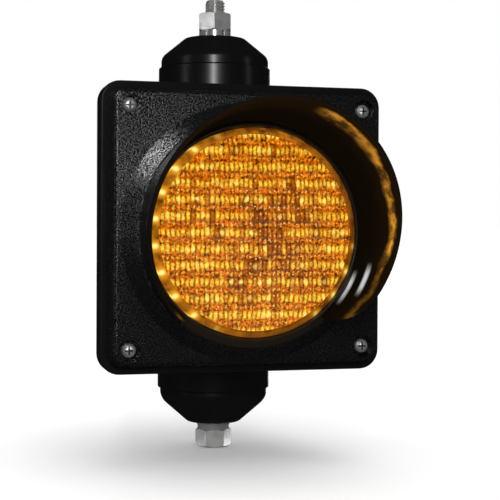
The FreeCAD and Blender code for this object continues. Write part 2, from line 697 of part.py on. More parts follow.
def clip_screws():
    """The clip screws stand behind the clips, with their heads at the back."""
    body = new_part("clip_screws")
    back = f"{RIM_BACK} + dims.clip_thick"
    for x, z in polar_places(4, "dims.clip_circle", 45):
        turned(body, [
            (f"{back} + 1.9", "0"),
            (f"{back} + 1.9", "1.9"),
            (f"{back} + 0.8", "dims.clip_head"),
            (back, "dims.clip_head"),
            (back, "dims.clip_screw"),
            (f"{back} - {CLIP_SCREW_DEPTH}", "dims.clip_screw"),
            (f"{back} - {CLIP_SCREW_DEPTH}", "0"),
        ], "Y", x=x, z=z)


def led_profile(body, x, z):
    front = f"{LED_BOARD} - dims.board_thick"
    turned(body, [
        (front, "0"),
        (front, "dims.led_base"),
        (f"{front} - 1", "dims.led_base"),
        (f"{front} - 1", "dims.led_radius"),
        (f"{front} - dims.led_height + 2.3", "dims.led_radius"),
        (f"{front} - dims.led_height + 0.8", "dims.led_radius * 0.75"),
        (f"{front} - dims.led_height", "0"),
    ], "Y", x=x, z=z)


def leds():
    body = new_part("leds")
    led_profile(body, "0", "-dims.lens_drop")
    for radius, count in LED_RINGS:
        for x, z in polar_places(count, str(radius)):
            led_profile(body, x, z)


def driver_board():
    body = new_part("driver_board")
    half_x = "dims.driver_width / 2"
    half_z = "dims.driver_height / 2"
    block(body, (f"-{half_x}", f"{DRIVER} - dims.board_thick", f"-{half_z} - dims.lens_drop"),
          (half_x, DRIVER, f"{half_z} - dims.lens_drop"))
    for x, z in driver_fixings():
        cylinder(body, "dims.driver_hole", f"{DRIVER} - dims.board_thick - 1", f"{DRIVER} + 1", x, z, cut=True)


def driver_transformer():
    body = new_part("driver_transformer")
    face = f"{DRIVER} - dims.board_thick"
    block(body, ("-12", f"{face} - 3", "-10"), ("6", face, "6"))
    block(body, ("-11", f"{face} - 9", "-7"), ("5", f"{face} - 3", "3"))
    block(body, ("-12", f"{face} - 12", "-10"), ("6", f"{face} - 9", "6"))


def driver_capacitors():
    body = new_part("driver_capacitors")
    face = f"{DRIVER} - dims.board_thick"
    for z in ("-9", "3"):
        cylinder(body, "4", f"{face} - 11", face, "14", z)


def terminal_block():
    body = new_part("terminal_block")
    front = f"{INNER_WALL} - dims.terminal_deep"
    low_z = "dims.terminal_lift - dims.terminal_tall / 2"
    high_z = "dims.terminal_lift + dims.terminal_tall / 2"
    block(body, ("-dims.terminal_width / 2", front, low_z), ("dims.terminal_width / 2", INNER_WALL, high_z))
    wire_hole, screw_hole = "1.8", "2.2"
    for x in (-TERMINAL_PITCH, 0, TERMINAL_PITCH):
        upright(body, wire_hole, f"{low_z} - 1", f"{high_z} + 1", str(x), f"{INNER_WALL} - 6", cut=True)
        cylinder(body, screw_hole, f"{front} - 1", f"{front} + 7", str(x), "dims.terminal_lift", cut=True)


def terminal_screws():
    places = [(str(x), "dims.terminal_lift") for x in (-TERMINAL_PITCH, 0, TERMINAL_PITCH)]
    seat = f"{INNER_WALL} - dims.terminal_deep + 4.5"
    headed_screws("terminal_screws", places, seat, head="2.1", head_rise="1.6", radius="1.3", reach="2.4")


def hex_corners(flats):
    side = f"{flats} / sqrt(12)"
    return [(f"{flats} / 2", side), ("0", f"2 * {side}"), (f"-{flats} / 2", side),
            (f"-{flats} / 2", f"-{side}"), ("0", f"-2 * {side}"), (f"{flats} / 2", f"-{side}")]


def gland():
    axis = "-dims.gland_drop"
    seal_front = f"{BACK} + dims.gland_hex"
    seal_radius = "dims.gland_bore + dims.seal_wall"
    body = new_part("gland_body")
    sketch = new_sketch(body, "XZ_Plane", y=axis, z=f"-({BACK})")
    outline(sketch, hex_corners("dims.gland_flats"))
    padded(body, sketch, "dims.gland_hex")
    cylinder(body, "dims.gland_thread", f"{BACK} - 11", BACK, z=axis)
    cylinder(body, "dims.gland_thread", seal_front, f"{seal_front} + 7", z=axis)
    cylinder(body, "dims.gland_bore", f"{BACK} - 12", f"{seal_front} + 3", z=axis, cut=True)
    cylinder(body, seal_radius, f"{seal_front} + 1", f"{seal_front} + 8", z=axis, cut=True)

    body = new_part("gland_seal")
    turned(body, [
        (f"{seal_front} + 1", "dims.gland_bore"),
        (f"{seal_front} + 1", seal_radius),
        (f"{seal_front} + 10", seal_radius),
        (f"{seal_front} + 10", "dims.gland_bore"),
    ], "Y", z=axis)

    body = new_part("gland_cap")
    turned(body, [
        (f"{seal_front} + 0.5", "dims.gland_thread"),
        (f"{seal_front} + 0.5", "dims.gland_flats / 2"),
        (f"{seal_front} + 9", "dims.gland_flats / 2"),
        (f"{seal_front} + 12.5", "dims.gland_bore + 2"),
        (f"{seal_front} + 12.5", "dims.gland_bore"),
        (f"{seal_front} + 10", "dims.gland_bore"),
        (f"{seal_front} + 10", seal_radius),
        (f"{seal_front} + 7", seal_radius),
        (f"{seal_front} + 7", "dims.gland_thread"),
    ], "Y", z=axis)

    body = new_part("gland_locknut")
    sketch = new_sketch(body, "XZ_Plane", y=axis, z=f"-{INNER_WALL}")
    outline(sketch, hex_corners("(dims.gland_flats + 2)"))
    padded(body, sketch, "dims.gland_hex", forward=True)
    cylinder(body, "dims.gland_thread", f"{INNER_WALL} - dims.gland_hex - 1", f"{INNER_WALL} + 1", z=axis,
             cut=True)


def cap(label, end, side):
    """A domed cap with a spigot that turns in the collar. end is the first word of its own dimensions, and
    side is 1 for the top and -1 for the bottom."""
    body = new_part(label)

    def up(height):
        return height if side > 0 else f"-({height})"
    reach = f"dims.{end}_reach"
    flat = f"dims.{end}_flat"
    foot = "(dims.collar_reach + dims.cap_gap)"
    spigot = "(dims.collar_bore - dims.cap_gap)"
    shell = turned(body, [
        ("dims.washer_bore", up(reach)),
        (flat, up(reach)),
        ("dims.cap_radius", up("dims.cap_shoulder")),
        ("dims.cap_radius", up(foot)),
        (spigot, up(foot)),
        (spigot, up("dims.spigot_end")),
        (f"{spigot} - dims.spigot_wall", up("dims.spigot_end")),
        (f"{spigot} - dims.spigot_wall", up(foot)),
        ("dims.cap_radius - dims.cap_wall - 1", up("dims.cap_shoulder")),
        (f"{flat} - dims.cap_wall / 2", up(f"{reach} - dims.cap_wall")),
        ("dims.washer_bore", up(f"{reach} - dims.cap_wall")),
    ])
    shoulder = at_height(side * amount("dims.cap_shoulder"), amount("dims.cap_radius"))
    knee = rounded(body, shell, f"dims.{end}_knee", shoulder)
    rounded(body, knee, "dims.cap_rim", at_height(side * amount(reach), amount(flat)))
    groove = 2.2 * amount("dims.seal_section")
    middle = f"(dims.spigot_end + {groove})"
    turned(body, [
        (f"{spigot} - {groove}", up(f"{middle} - {groove / 2}")),
        (f"{spigot} + 1", up(f"{middle} - {groove / 2}")),
        (f"{spigot} + 1", up(f"{middle} + {groove / 2}")),
        (f"{spigot} - {groove}", up(f"{middle} + {groove / 2}")),
    ], cut=True)

    seal = doc.addObject("Part::Torus", f"{label}_seal")
    seal.Label = f"{label}_seal"
    bind(seal, Radius1=f"{spigot} - {groove} + dims.seal_section", Radius2="dims.seal_section",
         Placement__Base__z=f"{up(middle)} - {NUT_TOP}")
    parts.append(seal)


def tie_rod():
    body = new_part("tie_rod")
    turned(body, [
        ("0", f"-{LOW_END}"),
        ("dims.rod_core - 0.6", f"-{LOW_END}"),
        ("dims.rod_core", f"-{LOW_END} + 0.6"),
        ("dims.rod_core", NUT_TOP),
        ("dims.rod_radius", NUT_TOP),
        ("dims.rod_radius", f"{NUT_TOP} + dims.rod_free - dims.rod_chamfer"),
        ("dims.rod_radius - dims.rod_chamfer", f"{NUT_TOP} + dims.rod_free"),
        ("0", f"{NUT_TOP} + dims.rod_free"),
    ])


def nut(label, low, high, turn):
    """A hexagon nut with both ends chamfered at 30 degrees."""
    body = new_part(label)
    sketch = new_sketch(body, "XY_Plane", z=low)
    outline(sketch, hex_corners("dims.nut_flats"))
    sketch.AttachmentOffset = FreeCAD.Placement(
        sketch.AttachmentOffset.Base, FreeCAD.Rotation(FreeCAD.Vector(0, 0, 1), turn - 30))
    padded(body, sketch, "dims.nut_height", forward=True)
    corner = "(dims.nut_flats / sqrt(3) + 1)"
    flat = "(dims.nut_flats / 2 - 0.3)"
    fall = f"(({corner} - {flat}) * tan(30))"
    for face, inward in ((low, "+"), (high, "-")):
        outward = "-" if inward == "+" else "+"
        turned(body, [
            (flat, face),
            (corner, f"{face} {inward} {fall}"),
            (corner, f"{face} {outward} 1"),
            (flat, f"{face} {outward} 1"),
        ], cut=True)
    upright(body, "dims.rod_core", f"{low} - 1", f"{high} + 1", cut=True)


def washer(label, radius, low, thick):
    body = new_part(label)
    upright(body, radius, low, f"{low} + {thick}")
    upright(body, "dims.washer_bore", f"{low} - 1", f"{low} + {thick} + 1", cut=True)
    return body


def split_washer(label, radius, low, turn):
    """A spring washer: a ring with one sawn gap."""
    body = washer(label, radius, low, "dims.split_washer_thick")
    block(body, ("0", "-dims.washer_gap / 2", f"{low} - 1"),
          (f"{radius} + 1", "dims.washer_gap / 2", f"{low} + dims.split_washer_thick + 1"), cut=True)
    body.Placement = FreeCAD.Placement(body.Placement.Base, FreeCAD.Rotation(FreeCAD.Vector(0, 0, 1), turn))


rear_housing()
housing_flange()
collar("top_collar", 1)
collar("bottom_collar", -1)
door_gasket()
housing_inserts()
front_door()
door_screws()
visor()
ring_part("lens_gasket", "dims.lens_radius + 0.5", "dims.module_rim", f"{DOOR} + dims.door_wall",
          f"{DOOR} + dims.door_wall + dims.lens_gasket_thick")
lens()
disc_part("inner_lens", "dims.inner_lens_radius", LENS_BACK, f"{RIM_BACK} - 1")
module_shell()
module_clips()
clip_screws()
disc_part("led_board", "dims.board_radius", f"{LED_BOARD} - dims.board_thick", LED_BOARD)
leds()
driver_board()
driver_transformer()
driver_capacitors()
terminal_block()
terminal_screws()
gland()
cap("top_cap", "top", 1)
cap("bottom_cap", "bottom", -1)
tie_rod()
nut("top_nut", TOP_SEAT, NUT_TOP, TOP_NUT_TURN)
nut("bottom_nut", f"-{LOW_END}", f"-{LOW_SEAT}", BOTTOM_NUT_TURN)
washer("top_flat_washer", "dims.flat_washer", "dims.top_reach", "dims.flat_washer_thick")
split_washer("top_spring_washer", "dims.split_washer", TOP_SPLIT, TOP_GAP_TURN)
washer("bottom_flat_washer", "dims.flat_washer", f"-{LOW_SPLIT}", "dims.flat_washer_thick")
split_washer("bottom_spring_washer", "dims.split_washer", f"-{LOW_SEAT}", BOTTOM_GAP_TURN)

doc.recompute()

problems = [f"{thing.Name}: {thing.State}" for thing in doc.Objects
            if "Invalid" in thing.State or "Error" in thing.State]
problems += [f"{part.Label}: bad shape" for part in parts if part.Shape.isNull() or not part.Shape.isValid()]
if problems:
    raise SystemExit("\n".join(problems))

os.makedirs("parts", exist_ok=True)
for part in parts:
    part.Shape.exportStep(os.path.join("parts", f"{part.Label}.step"))
    print(part.Label, len(part.Shape.Solids), round(part.Shape.Volume))
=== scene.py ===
"""Looks of a traffic signal head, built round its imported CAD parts.

Shapes are in millimetres and become metres in mesh_object. Materials, lights and the camera are in metres.
"""
import json
import math

import bmesh
import bpy
from mathutils import Matrix, Vector


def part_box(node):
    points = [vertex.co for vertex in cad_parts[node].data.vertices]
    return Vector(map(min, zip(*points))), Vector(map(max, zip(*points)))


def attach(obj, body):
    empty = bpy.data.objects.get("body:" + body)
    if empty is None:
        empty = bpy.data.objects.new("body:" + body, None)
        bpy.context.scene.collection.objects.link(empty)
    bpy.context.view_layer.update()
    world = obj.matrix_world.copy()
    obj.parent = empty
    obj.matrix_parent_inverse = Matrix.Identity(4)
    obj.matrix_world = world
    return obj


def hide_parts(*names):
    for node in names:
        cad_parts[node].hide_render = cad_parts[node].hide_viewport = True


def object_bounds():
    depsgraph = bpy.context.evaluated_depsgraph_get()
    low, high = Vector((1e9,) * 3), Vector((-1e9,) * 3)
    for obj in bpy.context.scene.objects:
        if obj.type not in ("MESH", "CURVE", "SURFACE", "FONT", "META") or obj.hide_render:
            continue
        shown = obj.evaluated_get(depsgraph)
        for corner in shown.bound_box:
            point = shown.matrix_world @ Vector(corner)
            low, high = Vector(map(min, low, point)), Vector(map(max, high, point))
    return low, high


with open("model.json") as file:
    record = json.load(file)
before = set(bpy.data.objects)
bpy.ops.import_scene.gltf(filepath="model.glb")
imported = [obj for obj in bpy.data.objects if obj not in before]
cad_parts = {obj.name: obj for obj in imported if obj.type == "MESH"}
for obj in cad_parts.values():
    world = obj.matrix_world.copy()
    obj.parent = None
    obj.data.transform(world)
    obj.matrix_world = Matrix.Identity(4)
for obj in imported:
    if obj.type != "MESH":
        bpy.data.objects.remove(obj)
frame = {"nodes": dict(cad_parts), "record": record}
cad_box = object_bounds()
nodes = frame["nodes"]
record = frame["record"]

MM = 0.001
HEAD, MOUNTING = "head", "mounting"


def box_mm(node):
    """The lowest and highest corners of a CAD part at rest, in millimetres."""
    low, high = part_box(node)
    return [value / MM for value in low], [value / MM for value in high]


# Shared places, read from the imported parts.
lens_low, lens_high = box_mm("lens")
flange_low, flange_high = box_mm("housing_flange")
LENS_Z = (lens_low[2] + lens_high[2]) / 2
HOUSING_Z = (flange_low[2] + flange_high[2]) / 2
FLANGE_Y = flange_low[1]
BACK_Y = box_mm("rear_housing")[1][1]
DOOR_THICK = 13.2
DOOR_Y = FLANGE_Y - DOOR_THICK

SCREW_HALF = 65.7      # door screws, out from the centre
VISOR_ROOT = 61.55     # outer radius of the visor at the door face
VISOR_FLARE = 0.085    # growth of that radius for each millimetre forward
VISOR_WALL = 2.1
VISOR_SIDE = 56.5      # reach of the visor at the height of the lens centre
VISOR_SLANT = math.radians(14.8)
VISOR_SKIRT = 46.6     # where the rim meets the door, below the lens centre
VISOR_BEND = 22.0      # radius of the rim's lower corner
VISOR_LIP = 57.2       # inner radius of the visor's ring
RING_RISE = 8.5        # outer edge of the ring, forward of the door face
LENS_RISE = 12.2       # inner edge of the ring and rim of the lens
LENS_RADIUS = 56.3
BEVEL_RADIUS, BEVEL_RISE = 53.6, 16.0
LENS_CROWN = 20.7      # middle of the lens, forward of the door face
PITCH_X, PITCH_Z = 2.6, 8.75    # width and height of a prism of the lens
PRISM_HEIGHT = 0.55


# ---------------------------------------------------------------- meshes

def mesh_object(name, points, faces, material, body, sharp=35, merge=0.0):
    """A smooth-shaded mesh from points in millimetres, riding on a CAD body."""
    mesh = bpy.data.meshes.new(name)
    mesh.from_pydata([Vector(p) * MM for p in points], [], faces)
    bm = bmesh.new()
    bm.from_mesh(mesh)
    if merge:
        bmesh.ops.remove_doubles(bm, verts=bm.verts, dist=merge * MM)
    bmesh.ops.recalc_face_normals(bm, faces=bm.faces)
    for face in bm.faces:
        face.smooth = True
    bm.to_mesh(mesh)
    bm.free()
    mesh.set_sharp_from_angle(angle=math.radians(sharp))
    piece = bpy.data.objects.new(name, mesh)
    bpy.context.scene.collection.objects.link(piece)
    mesh.materials.append(material)
    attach(piece, body)
    return piece


def rounded_path(corners, steps=6, closed=True):
    """The corners (a, b, radius) of a profile as points, with an arc for each corner that has a radius."""
    count = len(corners)
    path = []
    for i, (a, b, radius) in enumerate(corners):
        here = Vector((a, b))
        if radius <= 0 or (not closed and i in (0, count - 1)):
            path.append((a, b))
            continue
        before = (Vector(corners[i - 1][:2]) - here).normalized()
        after = (Vector(corners[(i + 1) % count][:2]) - here).normalized()
        half = before.angle(after) / 2
        reach = radius / math.tan(half)
        start, end = here + before * reach, here + after * reach
        centre = here + (before + after).normalized() * (radius / math.sin(half))
        first, last = start - centre, end - centre
        turn = first.angle(last)
        sign = 1 if first.x * last.y - first.y * last.x > 0 else -1
        for k in range(steps + 1):
            angle = sign * turn * k / steps
            x = first.x * math.cos(angle) - first.y * math.sin(angle)
            y = first.x * math.sin(angle) + first.y * math.cos(angle)
            path.append((centre.x + x, centre.y + y))
    return path


def revolve(name, path, axis, centre, material, body, closed=True):
    """Turns (radius, place along the axis) points about an axis through centre = (x, y, z)."""
    steps = 192
    points, faces, rings = [], [], []
    for radius, along in path:
        ring = []
        for k in range(steps if radius > 1e-6 else 1):
            angle = 2 * math.pi * k / steps
            c, s = radius * math.cos(angle), radius * math.sin(angle)
            offset = (c, along, s) if axis == "Y" else (c, s, along)
            ring.append(len(points))
            points.append([centre[i] + offset[i] for i in range(3)])
        rings.append(ring)
    pairs = list(zip(rings, rings[1:]))
    if closed:
        pairs.append((rings[-1], rings[0]))
    for low, high in pairs:
        if len(low) == 1 and len(high) == 1:
            continue
        for k in range(steps):
            j = (k + 1) % steps
            if len(low) == 1:
                faces.append((low[0], high[j], high[k]))
            elif len(high) == 1:
                faces.append((low[k], low[j], high[0]))
            else:
                faces.append((low[k], low[j], high[j], high[k]))
    return mesh_object(name, points, faces, material, body)


def square_outline(half, corner):
    """A square with rounded corners as (x, z) points."""
    steps = 8
    points = []
    for quarter in range(4):
        turn = quarter * math.pi / 2
        centre_x = (half - corner) * (1 if quarter in (0, 3) else -1)
        centre_z = (half - corner) * (1 if quarter in (0, 1) else -1)
        for k in range(steps + 1):
            angle = turn + k * math.pi / 2 / steps
            points.append((centre_x + corner * math.cos(angle), centre_z + corner * math.sin(angle)))
    return points


def square_loft(name, sections, z, material, body, sharp):
    """A skin over rounded squares (half width, corner radius, y), closed by flat faces at both ends."""
    points, faces = [], []
    for half, corner, y in sections:
        for x, up in square_outline(half, corner):
            points.append((x, y, z + up))
    size = len(points) // len(sections)
    for row in range(len(sections) - 1):
        low, high = row * size, (row + 1) * size
        for k in range(size):
            j = (k + 1) % size
            faces.append((low + k, low + j, high + j, high + k))
    faces.append(tuple(range(size))[::-1])
    faces.append(tuple(range(len(points) - size, len(points))))
    return mesh_object(name, points, faces, material, body, sharp)


# ---------------------------------------------------------------- materials

class Nodes:
    """A short way to wire a material's nodes."""

    def __init__(self, name):
        self.material = bpy.data.materials.new(name)
        self.material.use_nodes = True
        self.tree = self.material.node_tree
        self.shader = self.tree.nodes["Principled BSDF"]
        self.place = self.add("ShaderNodeTexCoord").outputs["Object"]

    def place_from(self, y, z):
        """Sockets for x, y and z in metres from a y and z given in millimetres."""
        split = self.add("ShaderNodeSeparateXYZ")
        self.feed(split.inputs[0], self.place)
        from_y = self.minus(split.outputs["Y"], y * MM)
        from_z = self.minus(split.outputs["Z"], z * MM)
        return split.outputs["X"], from_y, from_z

    def add(self, kind, **settings):
        """A new node with these settings."""
        node = self.tree.nodes.new(kind)
        for key, value in settings.items():
            setattr(node, key, value)
        return node

    def feed(self, socket, value):
        """Links another node's output to a socket, or sets the socket to a plain value."""
        if hasattr(value, "is_output"):
            self.tree.links.new(value, socket)
        else:
            socket.default_value = value

    def math(self, operation, first, second=0.0):
        node = self.add("ShaderNodeMath", operation=operation)
        self.feed(node.inputs[0], first)
        self.feed(node.inputs[1], second)
        return node.outputs[0]

    def plus(self, *values):
        total = values[0]
        for value in values[1:]:
            total = self.math("ADD", total, value)
        return total

    def times(self, *values):
        product = values[0]
        for value in values[1:]:
            product = self.math("MULTIPLY", product, value)
        return product

    def minus(self, first, second):
        return self.math("SUBTRACT", first, second)

    def off(self, value, middle):
        """How far a value is from a middle, either way."""
        return self.math("ABSOLUTE", self.minus(value, middle))

    def length(self, first, second):
        return self.math("SQRT", self.plus(self.times(first, first), self.times(second, second)))

    def scaled(self, factors):
        """The object's coordinates, each times its own factor."""
        node = self.add("ShaderNodeMapping")
        self.feed(node.inputs["Vector"], self.place)
        node.inputs["Scale"].default_value = factors
        return node.outputs[0]

    def noise(self, scale, detail=2.0, roughness=0.5, place=None):
        node = self.add("ShaderNodeTexNoise")
        self.feed(node.inputs["Vector"], place or self.place)
        node.inputs["Scale"].default_value = scale
        node.inputs["Detail"].default_value = detail
        node.inputs["Roughness"].default_value = roughness
        return node.outputs["Fac"]

    def cells(self, scale):
        """Distance to the nearest of many scattered points."""
        node = self.add("ShaderNodeTexVoronoi", feature="F1")
        self.feed(node.inputs["Vector"], self.place)
        node.inputs["Scale"].default_value = scale
        return node.outputs["Distance"]

    def spread(self, value, low, high, out_low, out_high, smooth=False):
        """The value's range low to high, stretched over out_low to out_high and held at both ends."""
        node = self.add("ShaderNodeMapRange", clamp=True)
        if smooth:
            node.interpolation_type = "SMOOTHSTEP"
        for socket, item in zip(node.inputs[:5], (value, low, high, out_low, out_high)):
            self.feed(socket, item)
        return node.outputs[0]

    def mix(self, factor, first, second):
        """A colour that goes from the first to the second as the factor goes from 0 to 1."""
        node = self.add("ShaderNodeMix", data_type="RGBA", blend_type="MIX")
        self.feed(node.inputs["Factor"], factor)
        self.feed(node.inputs[6], first)
        self.feed(node.inputs[7], second)
        return node.outputs[2]

    def relief(self, height, distance):
        """A bumped normal from a height of 0 to 1 that stands for this many millimetres."""
        node = self.add("ShaderNodeBump")
        node.inputs["Strength"].default_value = 1.0
        node.inputs["Distance"].default_value = distance * MM
        self.feed(node.inputs["Height"], height)
        return node.outputs[0]

    def set(self, **values):
        """Sets inputs of the main shader, with _ for each space in a name."""
        for name, value in values.items():
            self.feed(self.shader.inputs[name.replace("_", " ")], value)


def moulded_plastic(name, colour, gloss, grain, grain_depth, shine=0.5):
    """Moulded plastic: a fine surface grain, slow changes of gloss and a breath of dust."""
    n = Nodes(name)
    fine = n.noise(grain, 3.0, 0.6)
    slow = n.noise(35.0, 2.0)
    n.set(Roughness=n.spread(slow, 0.3, 0.7, gloss * 0.88, gloss * 1.12))
    lighter = tuple(min(1.0, c * 1.4 + 0.001) for c in colour[:3]) + (1.0,)
    n.set(Base_Color=n.mix(n.spread(fine, 0.35, 0.75, 0.0, 0.6), colour + (1.0,), lighter))
    n.set(Normal=n.relief(fine, grain_depth))
    n.shader.inputs["IOR"].default_value = 1.5
    n.shader.inputs["Specular IOR Level"].default_value = shine
    return n.material


def grained_plastic(name):
    """The door's spark-eroded black plastic: shallow pits between raised specks."""
    n = Nodes(name)
    specks = n.cells(1300.0)
    blotches = n.noise(1350.0, 3.0, 0.75)
    height = n.plus(n.spread(specks, 0.0, 0.75, 1.0, 0.0), blotches)
    deep_black, worn_black = (0.0025, 0.0025, 0.0028, 1), (0.009, 0.009, 0.0095, 1)
    n.set(Base_Color=n.mix(n.spread(blotches, 0.45, 0.7, 0.0, 1.0), deep_black, worn_black))
    n.set(Roughness=n.spread(height, 0.6, 1.6, 0.24, 0.16))
    n.set(Specular_IOR_Level=n.spread(blotches, 0.45, 0.62, 0.0, 1.7, True))
    n.set(Normal=n.relief(height, 0.06))
    n.shader.inputs["IOR"].default_value = 1.5
    return n.material


def hood_plastic(name):
    """Black gloss plastic. Inside the hood: a painted darker brown tint and painted brown glow from the
    lens's light, a painted amber reflection of the lens on the far inner wall, and painted white lamp
    reflections.
    """
    n = Nodes(name)
    x, back, z = n.place_from(DOOR_Y, LENS_Z)
    forward = n.times(back, -1.0)
    radius = n.length(x, z)
    turn = n.math("DEGREES", n.math("ARCTAN2", z, x))
    wall_middle = n.plus(n.times(forward, VISOR_FLARE), (VISOR_ROOT - VISOR_WALL / 2) * MM)
    inside = n.spread(n.minus(wall_middle, radius), -0.0002, 0.0002, 0.0, 1.0)
    wave = n.noise(1.0, 3.0, 0.55, n.scaled((60.0, 25.0, 60.0)))
    rim = n.plus(n.times(z, math.tan(VISOR_SLANT)), VISOR_SIDE * MM)
    to_rim = n.plus(n.minus(rim, forward), n.times(n.minus(wave, 0.5), 0.014))

    # Painted reflection of the lens's light on the wall near the rim, broken into patches and fading at both
    # ends of its arc.
    arc = n.times(n.spread(turn, -28.0, -6.0, 0.12, 1.0, True), n.spread(turn, 64.0, 76.0, 1.0, 0.0, True))
    depth = n.spread(turn, 20.0, 60.0, 0.0135, 0.022)
    band = n.times(n.spread(to_rim, 0.0025, 0.007, 0.0, 1.0, True),
                   n.spread(to_rim, 0.006, depth, 1.0, 0.0, True))
    patches = n.spread(n.noise(1.0, 3.0, 0.7, n.scaled((75.0, 60.0, 75.0))), 0.42, 0.6, 0.12, 1.0)
    painted_lens_reflection = n.times(arc, band, patches, inside, n.spread(turn, -6.0, 40.0, 1.0, 0.55))
    # Painted glow of the lens's amber light over the inner wall, strongest near the rim; haze sets how strong
    # it is.
    haze = n.times(n.spread(to_rim, 0.008, 0.034, 1.0, 0.0, True), n.spread(turn, -45.0, 20.0, 0.4, 1.0))
    brown = n.mix(haze, (0.0035, 0.0020, 0.0008, 1), (0.009, 0.0042, 0.0012, 1))

    def streak_at(reach, width, angle, half_turn):
        """A painted reflection of a lamp, so many millimetres forward of the door and so many degrees round
        the lens.
        """
        beside = n.spread(n.off(forward, reach * MM), width * 0.2 * MM, width * MM, 1.0, 0.0, True)
        return n.times(beside, n.spread(n.off(turn, angle), half_turn * 0.2, half_turn, 1.0, 0.0, True))

    # Two painted white reflections of lamps on the inner wall.
    streak = n.math("MAXIMUM", streak_at(13.0, 3.6, -30.0, 11.0), streak_at(28.0, 4.2, -24.0, 10.0))
    streak = n.times(streak, inside, n.spread(wave, 0.35, 0.6, 0.25, 1.0))
    warm = n.mix(painted_lens_reflection, brown, (1.0, 0.42, 0.045, 1))
    warm = n.mix(streak, warm, (0.62, 0.62, 0.62, 1))
    fine = n.noise(700.0, 3.0, 0.6)
    # Inside the hood the base colour is darker and browner: a painted tint of the lens's amber light.
    n.set(Base_Color=n.mix(inside, (0.0045, 0.0038, 0.0034, 1), (0.0025, 0.0016, 0.001, 1)))
    n.set(Roughness=n.spread(fine, 0.3, 0.7, 0.18, 0.24), Normal=n.relief(fine, 0.006))
    # All the emission inside the hood is painted light: the brown glow and the painted reflections.
    n.set(Emission_Color=n.mix(inside, (0.0, 0.0, 0.0, 1), warm))
    n.set(Specular_IOR_Level=n.spread(inside, 0.0, 1.0, 0.5, 0.0))
    n.shader.inputs["Emission Strength"].default_value = 1.0
    n.shader.inputs["IOR"].default_value = 1.5
    return n.material


def brushed_metal(name, colour, roughness, stretch, scale=1400.0, depth=0.02, metallic=1.0):
    """Metal with fine tool marks along one direction and a little tarnish."""
    n = Nodes(name)
    marks = n.noise(scale, 3.0, 0.6, n.scaled(stretch))
    tarnish = n.noise(180.0, 3.0)
    dulled = tuple(c * 0.72 for c in colour) + (1.0,)
    n.set(Base_Color=n.mix(n.spread(tarnish, 0.35, 0.75, 0.0, 1.0), colour + (1.0,), dulled))
    n.set(Roughness=n.spread(marks, 0.3, 0.7, roughness * 0.85, roughness * 1.15))
    n.set(Normal=n.relief(marks, depth))
    n.shader.inputs["Metallic"].default_value = metallic
    return n.material


def screw_steel(name):
    """Stainless steel; the cross recess of each door screw is painted almost black as shade."""
    n = Nodes(name)
    head_depth, recess_radius = 1.0, 2.1
    x, depth, z = n.place_from(DOOR_Y + head_depth, HOUSING_Z)
    off_x = n.minus(n.math("ABSOLUTE", x), SCREW_HALF * MM)
    off_z = n.minus(n.math("ABSOLUTE", z), SCREW_HALF * MM)
    deep = n.spread(depth, 0.0, 0.0003, 0.0, 1.0)
    near = n.spread(n.length(off_x, off_z), recess_radius * MM, recess_radius * MM + 0.0003, 1.0, 0.0)
    # Painted shade: the base colour goes almost black inside the recess.
    recess = n.times(deep, near)
    marks = n.noise(900.0, 3.0, 0.6)
    n.set(Base_Color=n.mix(recess, (0.55, 0.55, 0.55, 1), (0.02, 0.02, 0.02, 1)))
    n.set(Roughness=n.spread(marks, 0.3, 0.7, 0.26, 0.36), Normal=n.relief(marks, 0.002))
    n.shader.inputs["Metallic"].default_value = 0.85
    return n.material


def rubber(name):
    """Black rubber with a pale bloom."""
    n = Nodes(name)
    bloom = n.noise(220.0, 4.0)
    n.set(Base_Color=n.mix(bloom, (0.012, 0.012, 0.012, 1), (0.035, 0.034, 0.033, 1)))
    n.set(Roughness=n.spread(bloom, 0.3, 0.7, 0.62, 0.8))
    n.set(Normal=n.relief(n.noise(2500.0, 2.0), 0.02))
    return n.material


def circuit_board(name):
    """Solder mask over copper: tracks a shade lighter than the ground."""
    n = Nodes(name)
    bricks = n.add("ShaderNodeTexBrick")
    n.feed(bricks.inputs["Vector"], n.place)
    bricks.inputs["Scale"].default_value = 160.0
    tracks = bricks.outputs["Fac"]
    n.set(Base_Color=n.mix(tracks, (0.012, 0.11, 0.045, 1), (0.02, 0.2, 0.08, 1)))
    n.set(Roughness=n.spread(n.noise(300.0), 0.3, 0.7, 0.22, 0.35))
    n.set(Normal=n.relief(tracks, 0.04))
    return n.material


